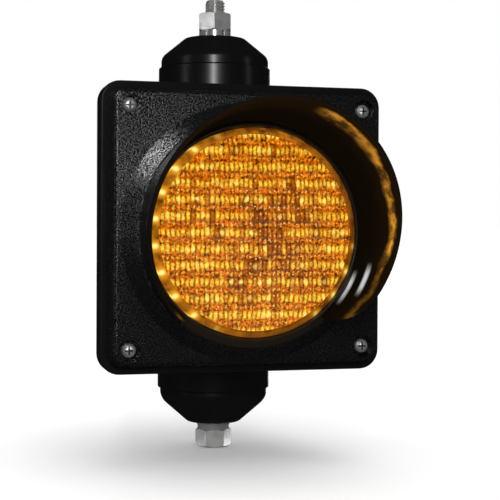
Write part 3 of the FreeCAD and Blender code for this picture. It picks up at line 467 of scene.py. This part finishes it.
def glow_plastic(name):
    """The lens skirt behind the prisms: amber plastic that carries the lamps' light."""
    n = Nodes(name)
    lamp_step, lamp_circle = 15.0, 55.2
    x, _, z = n.place_from(0.0, LENS_Z)
    angle = n.math("DEGREES", n.math("ARCTAN2", z, x))
    turn = n.math("PINGPONG", n.plus(angle, 360.0 + lamp_step / 2), lamp_step / 2)
    along = n.times(turn, 0.96)
    across = n.times(n.off(n.length(x, z), lamp_circle * MM), 900.0)
    reach = n.length(along, across)
    core = n.spread(reach, 0.5, 2.1, 1.0, 0.0, True)
    halo = n.spread(reach, 1.0, 5.0, 1.0, 0.0, True)

    # Lamps show on the left and, more faintly, at the lower right.
    from_left = n.off(n.math("PINGPONG", n.plus(angle, 360.0), 180.0), 172.0)
    left = n.spread(from_left, 38.0, 66.0, 1.0, 0.0, True)
    right = n.times(n.spread(n.off(angle, -32.0), 10.0, 34.0, 1.0, 0.0, True), 0.65)
    lit = n.math("MAXIMUM", left, right)
    streaks = n.spread(n.noise(1.0, 3.0, 0.6, n.scaled((160.0, 20.0, 160.0))), 0.32, 0.68, 0.0, 1.0)
    side = n.spread(n.minus(n.times(z, 0.7), x), -0.05, 0.02, 0.3, 1.0)
    ground = n.mix(n.times(streaks, side), (0.03, 0.007, 0.0006, 1), (0.5, 0.17, 0.008, 1))
    glow = n.mix(n.times(halo, lit), ground, (0.85, 0.36, 0.015, 1))
    glow = n.mix(n.times(core, lit), glow, (1.0, 0.96, 0.28, 1))
    n.set(Base_Color=(0.12, 0.04, 0.004, 1), Emission_Color=glow)
    n.set(Normal=n.relief(n.noise(45.0, 2.0), 0.15))
    n.shader.inputs["Emission Strength"].default_value = 1.0
    n.shader.inputs["Roughness"].default_value = 0.12
    n.shader.inputs["Specular IOR Level"].default_value = 0.3
    return n.material


def prism_plastic(name):
    """Amber prisms lit from behind, each with its own brightness and small bright specks."""
    n = Nodes(name)
    x, _, z = n.place_from(0.0, LENS_Z)
    bend = n.noise(150.0, 2.0, 0.6)
    sway = n.noise(1.0, 2.0, 0.6, n.scaled((210.0, 1.0, 210.0)))
    # Prisms counted across and up, with whole numbers added so that none is negative.
    across = n.plus(n.math("DIVIDE", x, PITCH_X * MM), n.times(n.minus(bend, 0.5), 0.9), 100.0)
    up = n.plus(n.math("DIVIDE", z, PITCH_Z * MM), n.times(n.minus(sway, 0.5), 0.42), 100.5)
    u, v = n.math("FRACT", across), n.math("FRACT", up)
    column, row = n.math("FLOOR", across), n.math("FLOOR", up)
    cell = n.add("ShaderNodeCombineXYZ")
    n.feed(cell.inputs[0], column)
    n.feed(cell.inputs[1], row)

    def per_cell(shift):
        """A chance of 0 to 1 that is the same all over a prism."""
        chance = n.add("ShaderNodeTexWhiteNoise", noise_dimensions="3D")
        moved = n.add("ShaderNodeVectorMath", operation="ADD")
        n.feed(moved.inputs[0], cell.outputs[0])
        moved.inputs[1].default_value = (0.0, 0.0, shift)
        n.feed(chance.inputs["Vector"], moved.outputs[0])
        return chance.outputs["Value"]

    one, two, three = per_cell(1.0), per_cell(2.0), per_cell(3.0)

    # The bright heart of each prism, and the line of light between two rows.
    from_middle = n.off(u, 0.5)
    tall = n.spread(three, 0.0, 1.0, 0.2, 0.3)
    lift = n.off(v, n.spread(two, 0.0, 1.0, 0.45, 0.56))
    kernel = n.times(n.spread(from_middle, 0.1, 0.5, 1.0, 0.0, True),
                     n.spread(n.minus(lift, tall), -0.2, 0.09, 1.0, 0.0, True))
    dash = n.times(n.spread(from_middle, 0.2, 0.5, 1.0, 0.15, True),
                   n.spread(n.minus(0.5, n.off(v, 0.5)), 0.02, 0.085, 1.0, 0.0, True))

    # Brightness over the lens: streaks along rows, broad patches, a dim middle and each prism's own chance.
    along = n.add("ShaderNodeCombineXYZ")
    n.feed(along.inputs[0], n.times(x, 70.0))
    n.feed(along.inputs[1], n.times(row, 7.31))
    streak = n.noise(1.0, 2.0, 0.6, along.outputs[0])
    chaos = n.noise(230.0, 4.0, 0.75)
    from_dim = n.length(n.minus(x, 9.0 * MM), n.plus(z, 3.0 * MM))
    edge = n.spread(from_dim, 5 * MM, 44 * MM, 0.0, 1.0)
    patches = n.minus(n.times(n.noise(38.0, 2.0), 0.55), 0.23)
    field = n.plus(n.times(streak, 1.1), n.times(chaos, 0.7), patches,
                   n.times(edge, 0.52), n.times(n.minus(one, 0.5), 0.5))
    level = n.spread(field, 0.94, 1.36, 0.0, 1.0)
    grit = n.spread(n.noise(760.0, 3.0, 0.75), 0.4, 0.6, 0.0, 1.0)

    ground_level = n.times(n.spread(level, 0.0, 1.0, 0.25, 1.0), grit)
    ground = n.mix(ground_level, (0.022, 0.0035, 0.0005, 1), (0.88, 0.2, 0.002, 1))
    heart = n.mix(level, (0.46, 0.11, 0.001, 1), (1.0, 0.5, 0.004, 1))
    heart = n.mix(n.spread(grit, 0.0, 0.8, 0.8, 0.0), heart, (0.24, 0.045, 0.002, 1))
    amber = n.mix(n.times(kernel, n.spread(chaos, 0.36, 0.5, 0.35, 1.0)), ground, heart)
    hot_core = n.times(kernel, n.spread(field, 1.08, 1.34, 0.0, 1.0), n.spread(grit, 0.0, 1.0, 0.35, 1.0))
    amber = n.mix(hot_core, amber, (1.0, 0.9, 0.10, 1))
    dashes = n.times(dash, n.spread(grit, 0.1, 0.8, 0.2, 1.0), n.spread(two, 0.1, 0.7, 0.15, 1.0), 0.9)
    amber = n.mix(dashes, amber, (1.0, 0.46, 0.03, 1))

    def speck(at_u, at_v, size, chance, rare):
        """A round glint of so many millimetres, in the prisms whose chance is above rare."""
        away = n.length(n.times(n.minus(u, at_u), PITCH_X), n.times(n.minus(v, at_v), PITCH_Z))
        glint = n.spread(away, size * 0.3, size, 1.0, 0.0, True)
        return n.times(glint, n.spread(chance, rare, 1.0, 0.0, 1.0))

    jitter = n.spread(three, 0.0, 1.0, 0.25, 0.75)
    other = n.spread(two, 0.0, 1.0, 0.7, 0.3)
    specks = n.math("MAXIMUM", speck(jitter, 0.07, 0.62, two, 0.1), speck(other, 0.93, 0.62, three, 0.15))
    pair = n.math("MAXIMUM", speck(other, 0.34, 0.72, one, 0.05), speck(jitter, 0.66, 0.72, two, 0.1))
    pair = n.times(pair, n.spread(level, 0.2, 0.75, 1.0, 0.3))
    colour = n.mix(speck(0.5, 0.5, 1.9, three, 0.74), amber, (1.0, 0.95, 0.3, 1))
    peach = n.mix(edge, (1.0, 0.74, 0.46, 1), (1.0, 0.70, 0.10, 1))
    colour = n.mix(n.math("MAXIMUM", specks, pair), colour, peach)
    n.set(Base_Color=(0.06, 0.015, 0.001, 1), Emission_Color=colour)
    n.shader.inputs["Emission Strength"].default_value = 1.0
    n.shader.inputs["Roughness"].default_value = 0.25
    return n.material


def clear_amber(name):
    """Clear tinted plastic with a slow ripple. Its low IOR keeps lamps from showing in the lens's cover."""
    n = Nodes(name)
    ripple = n.noise(60.0, 2.0)
    n.set(Base_Color=(1.0, 0.86, 0.6, 1), Normal=n.relief(ripple, 0.05))
    n.set(Roughness=n.spread(ripple, 0.3, 0.7, 0.02, 0.05))
    n.shader.inputs["Transmission Weight"].default_value = 1.0
    n.shader.inputs["IOR"].default_value = 1.04
    return n.material


def glossy_epoxy(name, colour, glow):
    """The LEDs' cast bodies, which glow faintly."""
    n = Nodes(name)
    haze = n.noise(700.0, 2.0)
    n.set(Base_Color=n.mix(haze, colour + (1.0,), tuple(c * 0.8 for c in colour) + (1.0,)))
    n.set(Roughness=n.spread(haze, 0.3, 0.7, 0.05, 0.15))
    n.set(Emission_Color=colour + (1.0,))
    n.shader.inputs["Emission Strength"].default_value = glow
    return n.material


black_satin = moulded_plastic("black_satin", (0.004, 0.004, 0.0042), 0.3, 1800.0, 0.03, 0.14)
black_grain = grained_plastic("black_grain")
black_gloss = moulded_plastic("black_gloss", (0.0045, 0.0035, 0.003), 0.2, 700.0, 0.006)
# The hood's material carries painted glow and painted reflections inside the visor.
black_hood_painted_glow = hood_plastic("black_hood_painted_glow")
# The ring is black plastic; its brown base colour is painted amber light from the lens.
ring_painted_amber = moulded_plastic("ring_painted_amber", (0.012, 0.0075, 0.004), 0.3, 700.0, 0.006, 0.3)
black_cap = moulded_plastic("black_cap", (0.003, 0.003, 0.0031), 0.26, 900.0, 0.008)
gland_black = moulded_plastic("gland_black", (0.009, 0.009, 0.009), 0.4, 1500.0, 0.03)
module_grey = moulded_plastic("module_grey", (0.05, 0.05, 0.052), 0.42, 1500.0, 0.03)
terminal_grey = moulded_plastic("terminal_grey", (0.5, 0.5, 0.48), 0.45, 1600.0, 0.02)
wound_core = moulded_plastic("wound_core", (0.07, 0.06, 0.05), 0.6, 2200.0, 0.08)
seal = rubber("seal")
zinc = brushed_metal("zinc", (0.82, 0.82, 0.81), 0.2, (1.0, 1.0, 0.3), 420.0, 0.0035, 0.84)
stainless = brushed_metal("stainless", (0.7, 0.7, 0.7), 0.22, (1.0, 0.3, 1.0), 900.0, 0.004)
brass = brushed_metal("brass", (0.72, 0.5, 0.2), 0.3, (1.0, 0.1, 1.0), 900.0, 0.06)
can_metal = brushed_metal("can_metal", (0.5, 0.5, 0.53), 0.35, (0.2, 1.0, 1.0))
laminate = circuit_board("laminate")
clear_plastic = clear_amber("clear_plastic")
epoxy = glossy_epoxy("epoxy", (1.0, 0.62, 0.1), 0.6)
lens_glow = glow_plastic("lens_glow")
lens_prisms = prism_plastic("lens_prisms")
lens_clear = clear_amber("lens_clear")

SLOT_MATERIALS = {
    "housing_plastic": black_satin, "door_plastic": black_grain, "visor_plastic": black_gloss,
    "cap_plastic": black_cap, "lens_amber": lens_glow, "clear_plastic": clear_plastic,
    "module_plastic": module_grey, "seal_rubber": seal, "zinc_steel": zinc, "stainless": stainless,
    "insert_brass": brass, "board_laminate": laminate, "led_epoxy": epoxy, "ferrite": wound_core,
    "capacitor_can": can_metal, "terminal_plastic": terminal_grey, "gland_plastic": gland_black,
}
for entry in record["subparts"]:
    mesh = nodes[entry["node"]].data
    mesh.materials.clear()
    mesh.materials.append(SLOT_MATERIALS[entry["material_slot"]])
door_screws = nodes["door_screws"].data.materials
door_screws.clear()
door_screws.append(screw_steel("screw_steel"))


# ---------------------------------------------------------------- visor

def outer_radius(length):
    """The outside of the visor, so many millimetres forward of the door face."""
    return VISOR_ROOT + VISOR_FLARE * length


def rim_reach(z):
    """How far forward of the door face the visor runs at height z from the lens centre."""
    if z <= -VISOR_SKIRT:
        return 0.0
    slope = math.tan(VISOR_SLANT)
    tangent = VISOR_BEND * math.tan((math.pi / 2 - VISOR_SLANT) / 2)
    knee = VISOR_SIDE - VISOR_SKIRT * slope
    bend_top = -VISOR_SKIRT + tangent * math.cos(VISOR_SLANT)
    if z >= bend_top:
        return VISOR_SIDE + z * slope
    rise = z + VISOR_SKIRT - VISOR_BEND
    return knee - tangent + math.sqrt(max(0.0, VISOR_BEND ** 2 - rise ** 2))


def cut_length(angle, drop):
    """Where a line along the visor's wall, drop millimetres inside its outer skin, meets the cut rim."""
    length = 0.0
    step = 0.25
    longest = VISOR_SIDE + 25
    while length < longest:
        z = (outer_radius(length) - drop) * math.sin(angle)
        if length > rim_reach(z):
            break
        length += step
    low, high = max(0.0, length - step), length
    for _ in range(24):
        middle = (low + high) / 2
        z = (outer_radius(middle) - drop) * math.sin(angle)
        if middle > rim_reach(z):
            high = middle
        else:
            low = middle
    return low


INNER_STEPS = (15.0, 22.0)    # places of the steps inside the visor
FIRST_SLOPE, SLOPE_LENGTH, STEP_HEIGHT = 6.0, 9.0, 0.35
RIM_EDGE = 0.5                # rounding of the rim's two edges

# Points over the rim: the share of the way across, and how far back as a share of the rounding.
RIM_POINTS = ((0.15, 0.12), (0.4, 0.0), (0.6, 0.0), (0.85, 0.12))


def inner_radius(length):
    """The inside of the visor: shallow slopes that each end in a step out towards the mouth."""
    steps_passed = sum(1 for at in INNER_STEPS if length > at)
    base = outer_radius(length) - VISOR_WALL
    start = INNER_STEPS[steps_passed - 1] if steps_passed else FIRST_SLOPE
    if length <= start:
        return base
    return base - STEP_HEIGHT * min(1.0, (length - start) / SLOPE_LENGTH)


def visor_angles():
    """Directions round the visor in radians, closer together where the rim runs into the door."""
    corner_low, corner_high, corner_width = -48.5, 228.5, 5.5
    angles = []
    degree = -90.0
    while degree < 270.0:
        angles.append(math.radians(degree))
        near = min(abs(degree - corner_low), abs(degree - corner_high))
        degree += 0.1 if near < corner_width else 0.6
    return angles


def visor_section(angle, lengths):
    """(radius, length) points round the visor's wall: out along the skin, over the rim and back inside."""
    outer_end = cut_length(angle, 0.0)
    inner_end = cut_length(angle, VISOR_WALL)
    round_off = min(RIM_EDGE, outer_end / 4, inner_end / 4)
    section = []
    for length in lengths:
        length = min(length, outer_end - round_off)
        section.append((outer_radius(length), length))
    outer, inner = outer_radius(outer_end), inner_radius(inner_end)
    for share, back in RIM_POINTS:
        length = outer_end + (inner_end - outer_end) * share - back * round_off
        section.append((outer + (inner - outer) * share, length))
    for length in reversed(lengths):
        length = min(length, inner_end - round_off)
        section.append((inner_radius(length), length))
    return section


def build_hood():
    """The visor's tube, cut off at a slant and open at the bottom."""
    lengths = [0.0, 3.0, 6.0, 9.0, 12.0]
    for at in INNER_STEPS:
        lengths += [at - 4.5, at - 0.02, at + 0.02]
    lengths += [66.0, 72.0, 78.0]
    lengths.sort()
    angles = visor_angles()
    points, faces = [], []
    for angle in angles:
        for radius, length in visor_section(angle, lengths):
            points.append((radius * math.cos(angle), DOOR_Y - length, LENS_Z + radius * math.sin(angle)))
    size = len(points) // len(angles)
    for row in range(len(angles)):
        here, there = row * size, (row + 1) % len(angles) * size
        for k in range(size):
            j = (k + 1) % size
            faces.append((here + k, here + j, there + j, there + k))
    return mesh_object("visor_hood", points, faces, black_hood_painted_glow, HEAD, 30, 0.004)


def build_ring():
    """The sloping ring between the visor and the lens, with its foot sunk into the door."""
    foot_radius, sunk = 66.5, -2.5
    profile = rounded_path([
        (VISOR_LIP, sunk, 0),
        (VISOR_LIP, LENS_RISE, 0.5),
        (VISOR_LIP + 1.2, LENS_RISE, 0.5),
        (VISOR_ROOT + 0.72, RING_RISE + 0.1, 0.25),
        (VISOR_ROOT + 0.1, 0.0, 0.0),
        (foot_radius, 0.0, 0),
        (foot_radius, sunk, 0),
    ])
    profile = [(radius, DOOR_Y - rise) for radius, rise in profile]
    return revolve("visor_ring", profile, "Y", (0, 0, LENS_Z), ring_painted_amber, HEAD)


def build_visor():
    hood = build_hood()
    ring = build_ring()
    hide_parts("visor")
    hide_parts("visor")


# ---------------------------------------------------------------- lens

def lens_front(radius):
    """How far the lens's smooth front stands forward of the door face at a radius."""
    return LENS_CROWN - (LENS_CROWN - BEVEL_RISE) * (radius / BEVEL_RADIUS) ** 2


def prism_relief(x, z):
    """Pillow height of the prisms, in millimetres."""
    u = (x / PITCH_X) % 1.0 - 0.5
    v = (z / PITCH_Z + 0.5) % 1.0 - 0.5
    return PRISM_HEIGHT * math.sqrt(max(0.0, 1 - (2 * u) ** 2)) * (1 - 0.75 * (2 * abs(v)) ** 4)


def build_prisms():
    """The lens's patterned back, as a fine grid pulled in to a disc."""
    disc_radius = BEVEL_RADIUS - 0.9
    sink = 2.0
    fine_x, fine_z = PITCH_X / 8, PITCH_Z / 12
    across, up = int(disc_radius / fine_x) + 2, int(disc_radius / fine_z) + 2
    points, faces, index = [], [], {}
    for i in range(-across, across + 1):
        for j in range(-up, up + 1):
            x, z = i * fine_x, j * fine_z
            radius = math.hypot(x, z)
            height = prism_relief(x, z)
            if radius > disc_radius:
                x, z = x * disc_radius / radius, z * disc_radius / radius
                height = 0.0
            index[i, j] = len(points), radius
            points.append((x, DOOR_Y - (lens_front(math.hypot(x, z)) - sink + height), LENS_Z + z))
    for i in range(-across, across):
        for j in range(-up, up):
            corners = [index[i, j], index[i + 1, j], index[i + 1, j + 1], index[i, j + 1]]
            if min(radius for _, radius in corners) < disc_radius:
                faces.append([number for number, _ in corners])
    return mesh_object("lens_prisms", points, faces, lens_prisms, HEAD, 50, 0.003)


def build_skirt():
    """The glowing band round the prisms."""
    bore = BEVEL_RADIUS - 1.4
    profile = rounded_path([
        (LENS_RADIUS, 0.0, 0),
        (LENS_RADIUS, LENS_RISE, 0.8),
        (BEVEL_RADIUS + 0.2, BEVEL_RISE - 0.6, 0.8),
        (bore, BEVEL_RISE - 2.2, 0.3),
        (bore, 0.0, 0),
    ])
    profile = [(radius, DOOR_Y - rise) for radius, rise in profile]
    return revolve("lens_skirt", profile, "Y", (0, 0, LENS_Z), lens_glow, HEAD)


def build_cover():
    """The smooth clear front."""
    thick, count = 0.8, 20
    dome = []
    for k in range(count + 1):
        radius = (BEVEL_RADIUS - 0.1) * k / count
        dome.append((radius, DOOR_Y - lens_front(radius)))
    for k in range(count, -1, -1):
        radius = (BEVEL_RADIUS - 0.5) * k / count
        dome.append((radius, DOOR_Y - lens_front(radius) + thick))
    return revolve("lens_cover", dome, "Y", (0, 0, LENS_Z), lens_clear, HEAD, closed=False)


def build_lens():
    for piece in (build_prisms(), build_skirt(), build_cover()):
        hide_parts("lens")


# ---------------------------------------------------------------- housing

FLANGE_HALF, FLANGE_CORNER, FLANGE_THICK, FLANGE_EDGE = 80.0, 11.0, 14.0, 1.3
SHELL_FRONT, SHELL_BACK, SHELL_CORNER, SHELL_EDGE, SHELL_WALL = 71.0, 60.0, 14.0, 5.0, 3.0
GROOVE_IN, GROOVE_OUT, GROOVE_DEEP = 73.4, 75.9, 2.0
GROOVE_IN_CORNER, GROOVE_OUT_CORNER = 5.4, 7.9
COLLAR_RADIUS, COLLAR_BORE, COLLAR_FOOT, COLLAR_TOP = 34.1, 31.0, 56.0, 96.9


def skin_corner(half, y, flange_back):
    """Corner radius of the housing's skin where its half width is half."""
    inset = FLANGE_HALF - half
    if y > flange_back:
        return SHELL_CORNER if half > SHELL_BACK - 1e-6 else SHELL_CORNER - (SHELL_BACK - half)
    if inset >= 4:
        return SHELL_CORNER
    slow = FLANGE_CORNER - inset * (SHELL_CORNER - FLANGE_CORNER) / 30
    return max(slow, FLANGE_CORNER - inset)


def build_case():
    """The box and its flange as one hollow moulding with the gasket's groove."""
    flange_back = FLANGE_Y + FLANGE_THICK
    inner_corner = SHELL_CORNER - SHELL_WALL
    groove_floor = FLANGE_Y + GROOVE_DEEP
    sections = [
        (SHELL_BACK - SHELL_WALL, inner_corner, BACK_Y - SHELL_WALL),
        (SHELL_FRONT - SHELL_WALL, inner_corner, flange_back),
        (SHELL_FRONT - SHELL_WALL, inner_corner, FLANGE_Y),
        (GROOVE_IN, GROOVE_IN_CORNER, FLANGE_Y),
        (GROOVE_IN, GROOVE_IN_CORNER, groove_floor),
        (GROOVE_OUT, GROOVE_OUT_CORNER, groove_floor),
        (GROOVE_OUT, GROOVE_OUT_CORNER, FLANGE_Y),
        (FLANGE_HALF - FLANGE_EDGE, FLANGE_CORNER - FLANGE_EDGE, FLANGE_Y),
    ]
    front_edge = rounded_path([
        (FLANGE_HALF - 6, FLANGE_Y, 0),
        (FLANGE_HALF, FLANGE_Y, FLANGE_EDGE),
        (FLANGE_HALF, FLANGE_Y + 6, 0),
    ], 6, closed=False)
    for half, y in front_edge[1:-1]:
        sections.append((half, FLANGE_CORNER - (FLANGE_HALF - half), y))
    skin = rounded_path([
        (FLANGE_HALF, FLANGE_Y, FLANGE_EDGE),
        (FLANGE_HALF, flange_back, FLANGE_EDGE),
        (SHELL_FRONT, flange_back, 2.0),
        (SHELL_BACK, BACK_Y, SHELL_EDGE),
        (SHELL_BACK - 12, BACK_Y, 0),
    ], 6, closed=False)
    for half, y in skin[1:]:
        sections.append((half, max(skin_corner(half, y, flange_back), 2.0), y))
    return square_loft("housing_case", sections, HOUSING_Z, black_satin, HEAD, 32)


def build_collar(name, node, side):
    """The round collar above (side 1) or below (side -1) the box."""
    profile = rounded_path([
        (COLLAR_BORE, COLLAR_FOOT, 0),
        (COLLAR_BORE, COLLAR_TOP, 0.5),
        (COLLAR_RADIUS, COLLAR_TOP, 0.8),
        (COLLAR_RADIUS, COLLAR_FOOT, 0),
    ])
    profile = [(radius, HOUSING_Z + side * up) for radius, up in profile]
    collar = revolve(name, profile, "Z", (0, 0, 0), black_cap, HEAD)
    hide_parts(node)


def build_housing():
    case = build_case()
    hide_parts("rear_housing")
    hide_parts("housing_flange")
    build_collar("collar_top", "top_collar", 1)
    build_collar("collar_bottom", "bottom_collar", -1)


# ---------------------------------------------------------------- nuts and rod

NUT_FLATS = 19.0          # width across the flats
NUT_FACE = 9.1            # radius of the flat ring at each end
NUT_BORE = 5.6
NUT_SINK_RADIUS, NUT_SINK = 6.6, 0.9
THREAD_PITCH, THREAD_OUT, THREAD_IN = 1.75, 6.0, 4.95
ROD_POINT = 1.3           # length of the chamfer at each end
SEEN_BELOW, SEEN_ABOVE = 16.0, 22.0    # lengths of the rod's two ends that can be seen


def build_nut(name, node, turn):
    """A hexagon nut with 30 degree chamfers at both ends and a countersunk bore."""
    low, high = box_mm(node)
    bottom, top = low[2], high[2]
    steps = 144
    points, faces = [], []
    slope = math.tan(math.radians(30))
    for k in range(steps):
        step_angle = 2 * math.pi * k / steps
        angle = step_angle + math.radians(turn)
        hex_radius = NUT_FLATS / 2 / math.cos(step_angle % (math.pi / 3) - math.pi / 6)
        fall = max(0.0, hex_radius - NUT_FACE) * slope
        section = (
            (NUT_BORE, bottom + NUT_SINK),
            (NUT_SINK_RADIUS, bottom),
            (NUT_FACE, bottom),
            (hex_radius, bottom + fall),
            (hex_radius, top - fall),
            (NUT_FACE, top),
            (NUT_SINK_RADIUS, top),
            (NUT_BORE, top - NUT_SINK),
        )
        for radius, z in section:
            points.append((radius * math.cos(angle), radius * math.sin(angle), z))
    size = len(section)
    for k in range(steps):
        here, there = k * size, (k + 1) % steps * size
        for i in range(size):
            j = (i + 1) % size
            faces.append((here + i, there + i, there + j, here + j))
    nut = mesh_object(name, points, faces, zinc, MOUNTING, 22)
    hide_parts(node)


def build_rod():
    """The rod, with its thread cut where it can be seen."""
    low, high = box_mm("tie_rod")
    bottom, top = low[2], high[2]
    # Rows are close together only at the two ends that can be seen.
    row_height = 0.125
    rows = [bottom + 0.02]
    z = bottom + 0.15
    while z < bottom + SEEN_BELOW:
        rows.append(z)
        z += row_height
    z = top - SEEN_ABOVE
    while z < top - 0.01:
        rows.append(z)
        z += row_height
    rows.append(top)
    steps = 96
    points, faces = [], []
    for z in rows:
        for k in range(steps):
            angle = 2 * math.pi * k / steps
            phase = ((z - bottom) / THREAD_PITCH - k / steps) % 1.0
            # 0 on the crest of the thread and 1 at its root, with a flat at each.
            depth = min(1.0, max(0.0, abs(phase - 0.5) * 2.6 - 0.22))
            radius = THREAD_OUT - (THREAD_OUT - THREAD_IN) * depth
            radius = min(radius, THREAD_OUT - max(0.0, z - top + ROD_POINT) * 0.9,
                         THREAD_OUT - max(0.0, bottom + ROD_POINT - z) * 0.9)
            points.append((radius * math.cos(angle), radius * math.sin(angle), z))
    for row in range(len(rows) - 1):
        for k in range(steps):
            j = (k + 1) % steps
            faces.append((row * steps + k, row * steps + j, (row + 1) * steps + j, (row + 1) * steps + k))
    faces.append(tuple(range(steps))[::-1])
    last = (len(rows) - 1) * steps
    faces.append(tuple(range(last, last + steps)))
    rod = mesh_object("threaded_rod", points, faces, zinc, MOUNTING, 40)
    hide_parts("tie_rod")


build_visor()
build_lens()
build_housing()
build_nut("nut_top", "top_nut", 15.2)
build_nut("nut_bottom", "bottom_nut", 53.5)
build_rod()


# ---------------------------------------------------------------- floor, light and camera

def floor_material():
    """A matt white sheet."""
    n = Nodes("floor_white")
    tone = n.noise(3.0, 2.0)
    n.set(Base_Color=n.mix(tone, (0.97, 0.97, 0.97, 1), (0.99, 0.99, 0.99, 1)))
    n.set(Roughness=n.spread(tone, 0.3, 0.7, 0.8, 0.9))
    n.shader.inputs["Specular IOR Level"].default_value = 0.0
    return n.material


floor_mesh = bpy.data.meshes.new("floor")
FLOOR_Z = cad_box[0].z - 0.0004
FLOOR_REACH = 40.0
floor_corners = [(x * FLOOR_REACH, y * FLOOR_REACH, FLOOR_Z) for x, y in ((-1, -1), (1, -1), (1, 1), (-1, 1))]
floor_mesh.from_pydata(floor_corners, [], [(0, 1, 2, 3)])
floor = bpy.data.objects.new("floor", floor_mesh)
floor_mesh.materials.append(floor_material())
bpy.context.scene.collection.objects.link(floor)
# Left out of reflections and bounced light, so that the black plastic stays black.
floor.visible_glossy = False
floor.visible_diffuse = False

# The camera looks at this point, and the lights turn towards it.
target = Vector((5.24, FLANGE_Y, HOUSING_Z - 3.63)) * MM


def direction(azimuth, elevation):
    """Unit vector from the object towards a viewer at these degrees, where azimuth 0 is its front."""
    a, e = math.radians(azimuth), math.radians(elevation)
    return Vector((math.sin(a) * math.cos(e), -math.cos(a) * math.cos(e), math.sin(e)))


def softbox(name, azimuth, elevation, distance, width, height, power):
    """A rectangular lamp that faces the target from a distance in metres."""
    light = bpy.data.lights.new(name, "AREA")
    light.shape = "RECTANGLE"
    light.size, light.size_y = width, height
    light.energy = power
    lamp = bpy.data.objects.new(name, light)
    away = direction(azimuth, elevation)
    lamp.location = target + away * distance
    lamp.rotation_euler = (-away).to_track_quat("-Z", "Y").to_euler()
    bpy.context.scene.collection.objects.link(lamp)
    return lamp


def collection_of(name, pieces):
    """A collection for light linking, which isn't part of the scene."""
    group = bpy.data.collections.new(name)
    for piece in pieces:
        group.objects.link(bpy.data.objects[piece])
    return group


softbox("left_strip", azimuth=-78, elevation=10, distance=1.4, width=0.05, height=0.8, power=0.5)
softbox("cap_strip", azimuth=-16, elevation=16, distance=1.9, width=0.05, height=0.75, power=11.0)
softbox("right_strip", azimuth=62, elevation=12, distance=1.6, width=0.05, height=0.6, power=0.25)

# The door's sheen comes from a panel that the visor doesn't shade.
front_panel = softbox(
    "front_panel", azimuth=1, elevation=10.5, distance=0.51, width=0.05, height=0.08, power=0.085)
front_panel.light_linking.receiver_collection = collection_of(
    "lit_by_panel", ("front_door", "door_screws", "visor_ring", "visor_hood", "lens_cover"))
front_panel.light_linking.blocker_collection = collection_of("panel_blockers", ("floor",))

upper_left = softbox(
    "upper_left", azimuth=-80, elevation=46, distance=1.3, width=0.5, height=0.45, power=6.0)
upper_left.light_linking.receiver_collection = collection_of("door_only", ("front_door",))

screw_light = softbox(
    "screw_light", azimuth=4, elevation=9, distance=0.8, width=0.16, height=0.16, power=0.8)
screw_light.light_linking.receiver_collection = collection_of("screws_only", ("door_screws",))

nut_light = softbox(
    "nut_light", azimuth=52, elevation=-2, distance=0.8, width=0.1, height=0.3, power=0.55)
nut_light.light_linking.receiver_collection = collection_of("metals", ("nut_top", "nut_bottom"))

back_fill = softbox(
    "back_fill", azimuth=158, elevation=5, distance=1.5, width=0.5, height=0.9, power=5.0)
back_fill.light_linking.receiver_collection = collection_of(
    "back_pieces", ("housing_case", "collar_top", "collar_bottom", "bottom_cap", "gland_cap", "gland_body"))

# The floor is hidden from reflections, so these stand for what the nut's flats mirror of it.
bottom_only = collection_of("bottom_only", ("nut_bottom",))
for azimuth, power in ((-3, 0.03), (117, 0.6), (-123, 0.16)):
    bounce = softbox(
        "floor_bounce", azimuth, elevation=-29, distance=0.6, width=0.22, height=0.14, power=power)
    bounce.light_linking.receiver_collection = bottom_only
    bounce.light_linking.blocker_collection = bottom_only

sun = bpy.data.lights.new("overhead", "SUN")
sun.energy = 0.75
sun.angle = math.radians(40)
overhead = bpy.data.objects.new("overhead", sun)
overhead.rotation_euler = direction(20, 70).to_track_quat("Z", "Y").to_euler()
bpy.context.scene.collection.objects.link(overhead)
overhead.visible_glossy = False

world = bpy.data.worlds.new("studio")
bpy.context.scene.world = world
world.use_nodes = True
tree = world.node_tree
rays = tree.nodes.new("ShaderNodeLightPath")


def sky_level(strength):
    """An even white sky."""
    level = tree.nodes.new("ShaderNodeBackground")
    level.inputs["Color"].default_value = (1, 1, 1, 1)
    level.inputs["Strength"].default_value = strength
    return level.outputs[0]


def switch(ray, low, high):
    """The high sky for one kind of ray and the low one for all others."""
    blend = tree.nodes.new("ShaderNodeMixShader")
    tree.links.new(rays.outputs[ray], blend.inputs[0])
    tree.links.new(low, blend.inputs[1])
    tree.links.new(high, blend.inputs[2])
    return blend.outputs[0]


# The camera sees white behind the object. Surfaces get a bright sky, but mirror a dark room.
lit = switch("Is Glossy Ray", sky_level(0.88), sky_level(0.012))
tree.links.new(switch("Is Camera Ray", lit, sky_level(1.0)), tree.nodes["World Output"].inputs["Surface"])

bpy.context.scene.view_settings.view_transform = "Standard"

camera_data = bpy.data.cameras.new("camera")
camera_data.sensor_width = 36.0
camera_data.lens = 89.08
camera_data.shift_x, camera_data.shift_y = -0.0051, -0.0305
camera = bpy.data.objects.new("camera", camera_data)
bpy.context.scene.collection.objects.link(camera)
YAW, ELEVATION, ROLL, DISTANCE = 14.777, 0.446, math.radians(0.272), 0.6891
away = direction(-YAW, ELEVATION)
forward = -away
right = forward.cross(Vector((0, 0, 1))).normalized()
above = right.cross(forward)
tilted_right = right * math.cos(ROLL) + above * math.sin(ROLL)
tilted_up = above * math.cos(ROLL) - right * math.sin(ROLL)
camera.matrix_world = Matrix.Translation(target + away * DISTANCE) @ Matrix(
    (tilted_right, tilted_up, away)).transposed().to_4x4()
bpy.context.scene.camera = camera
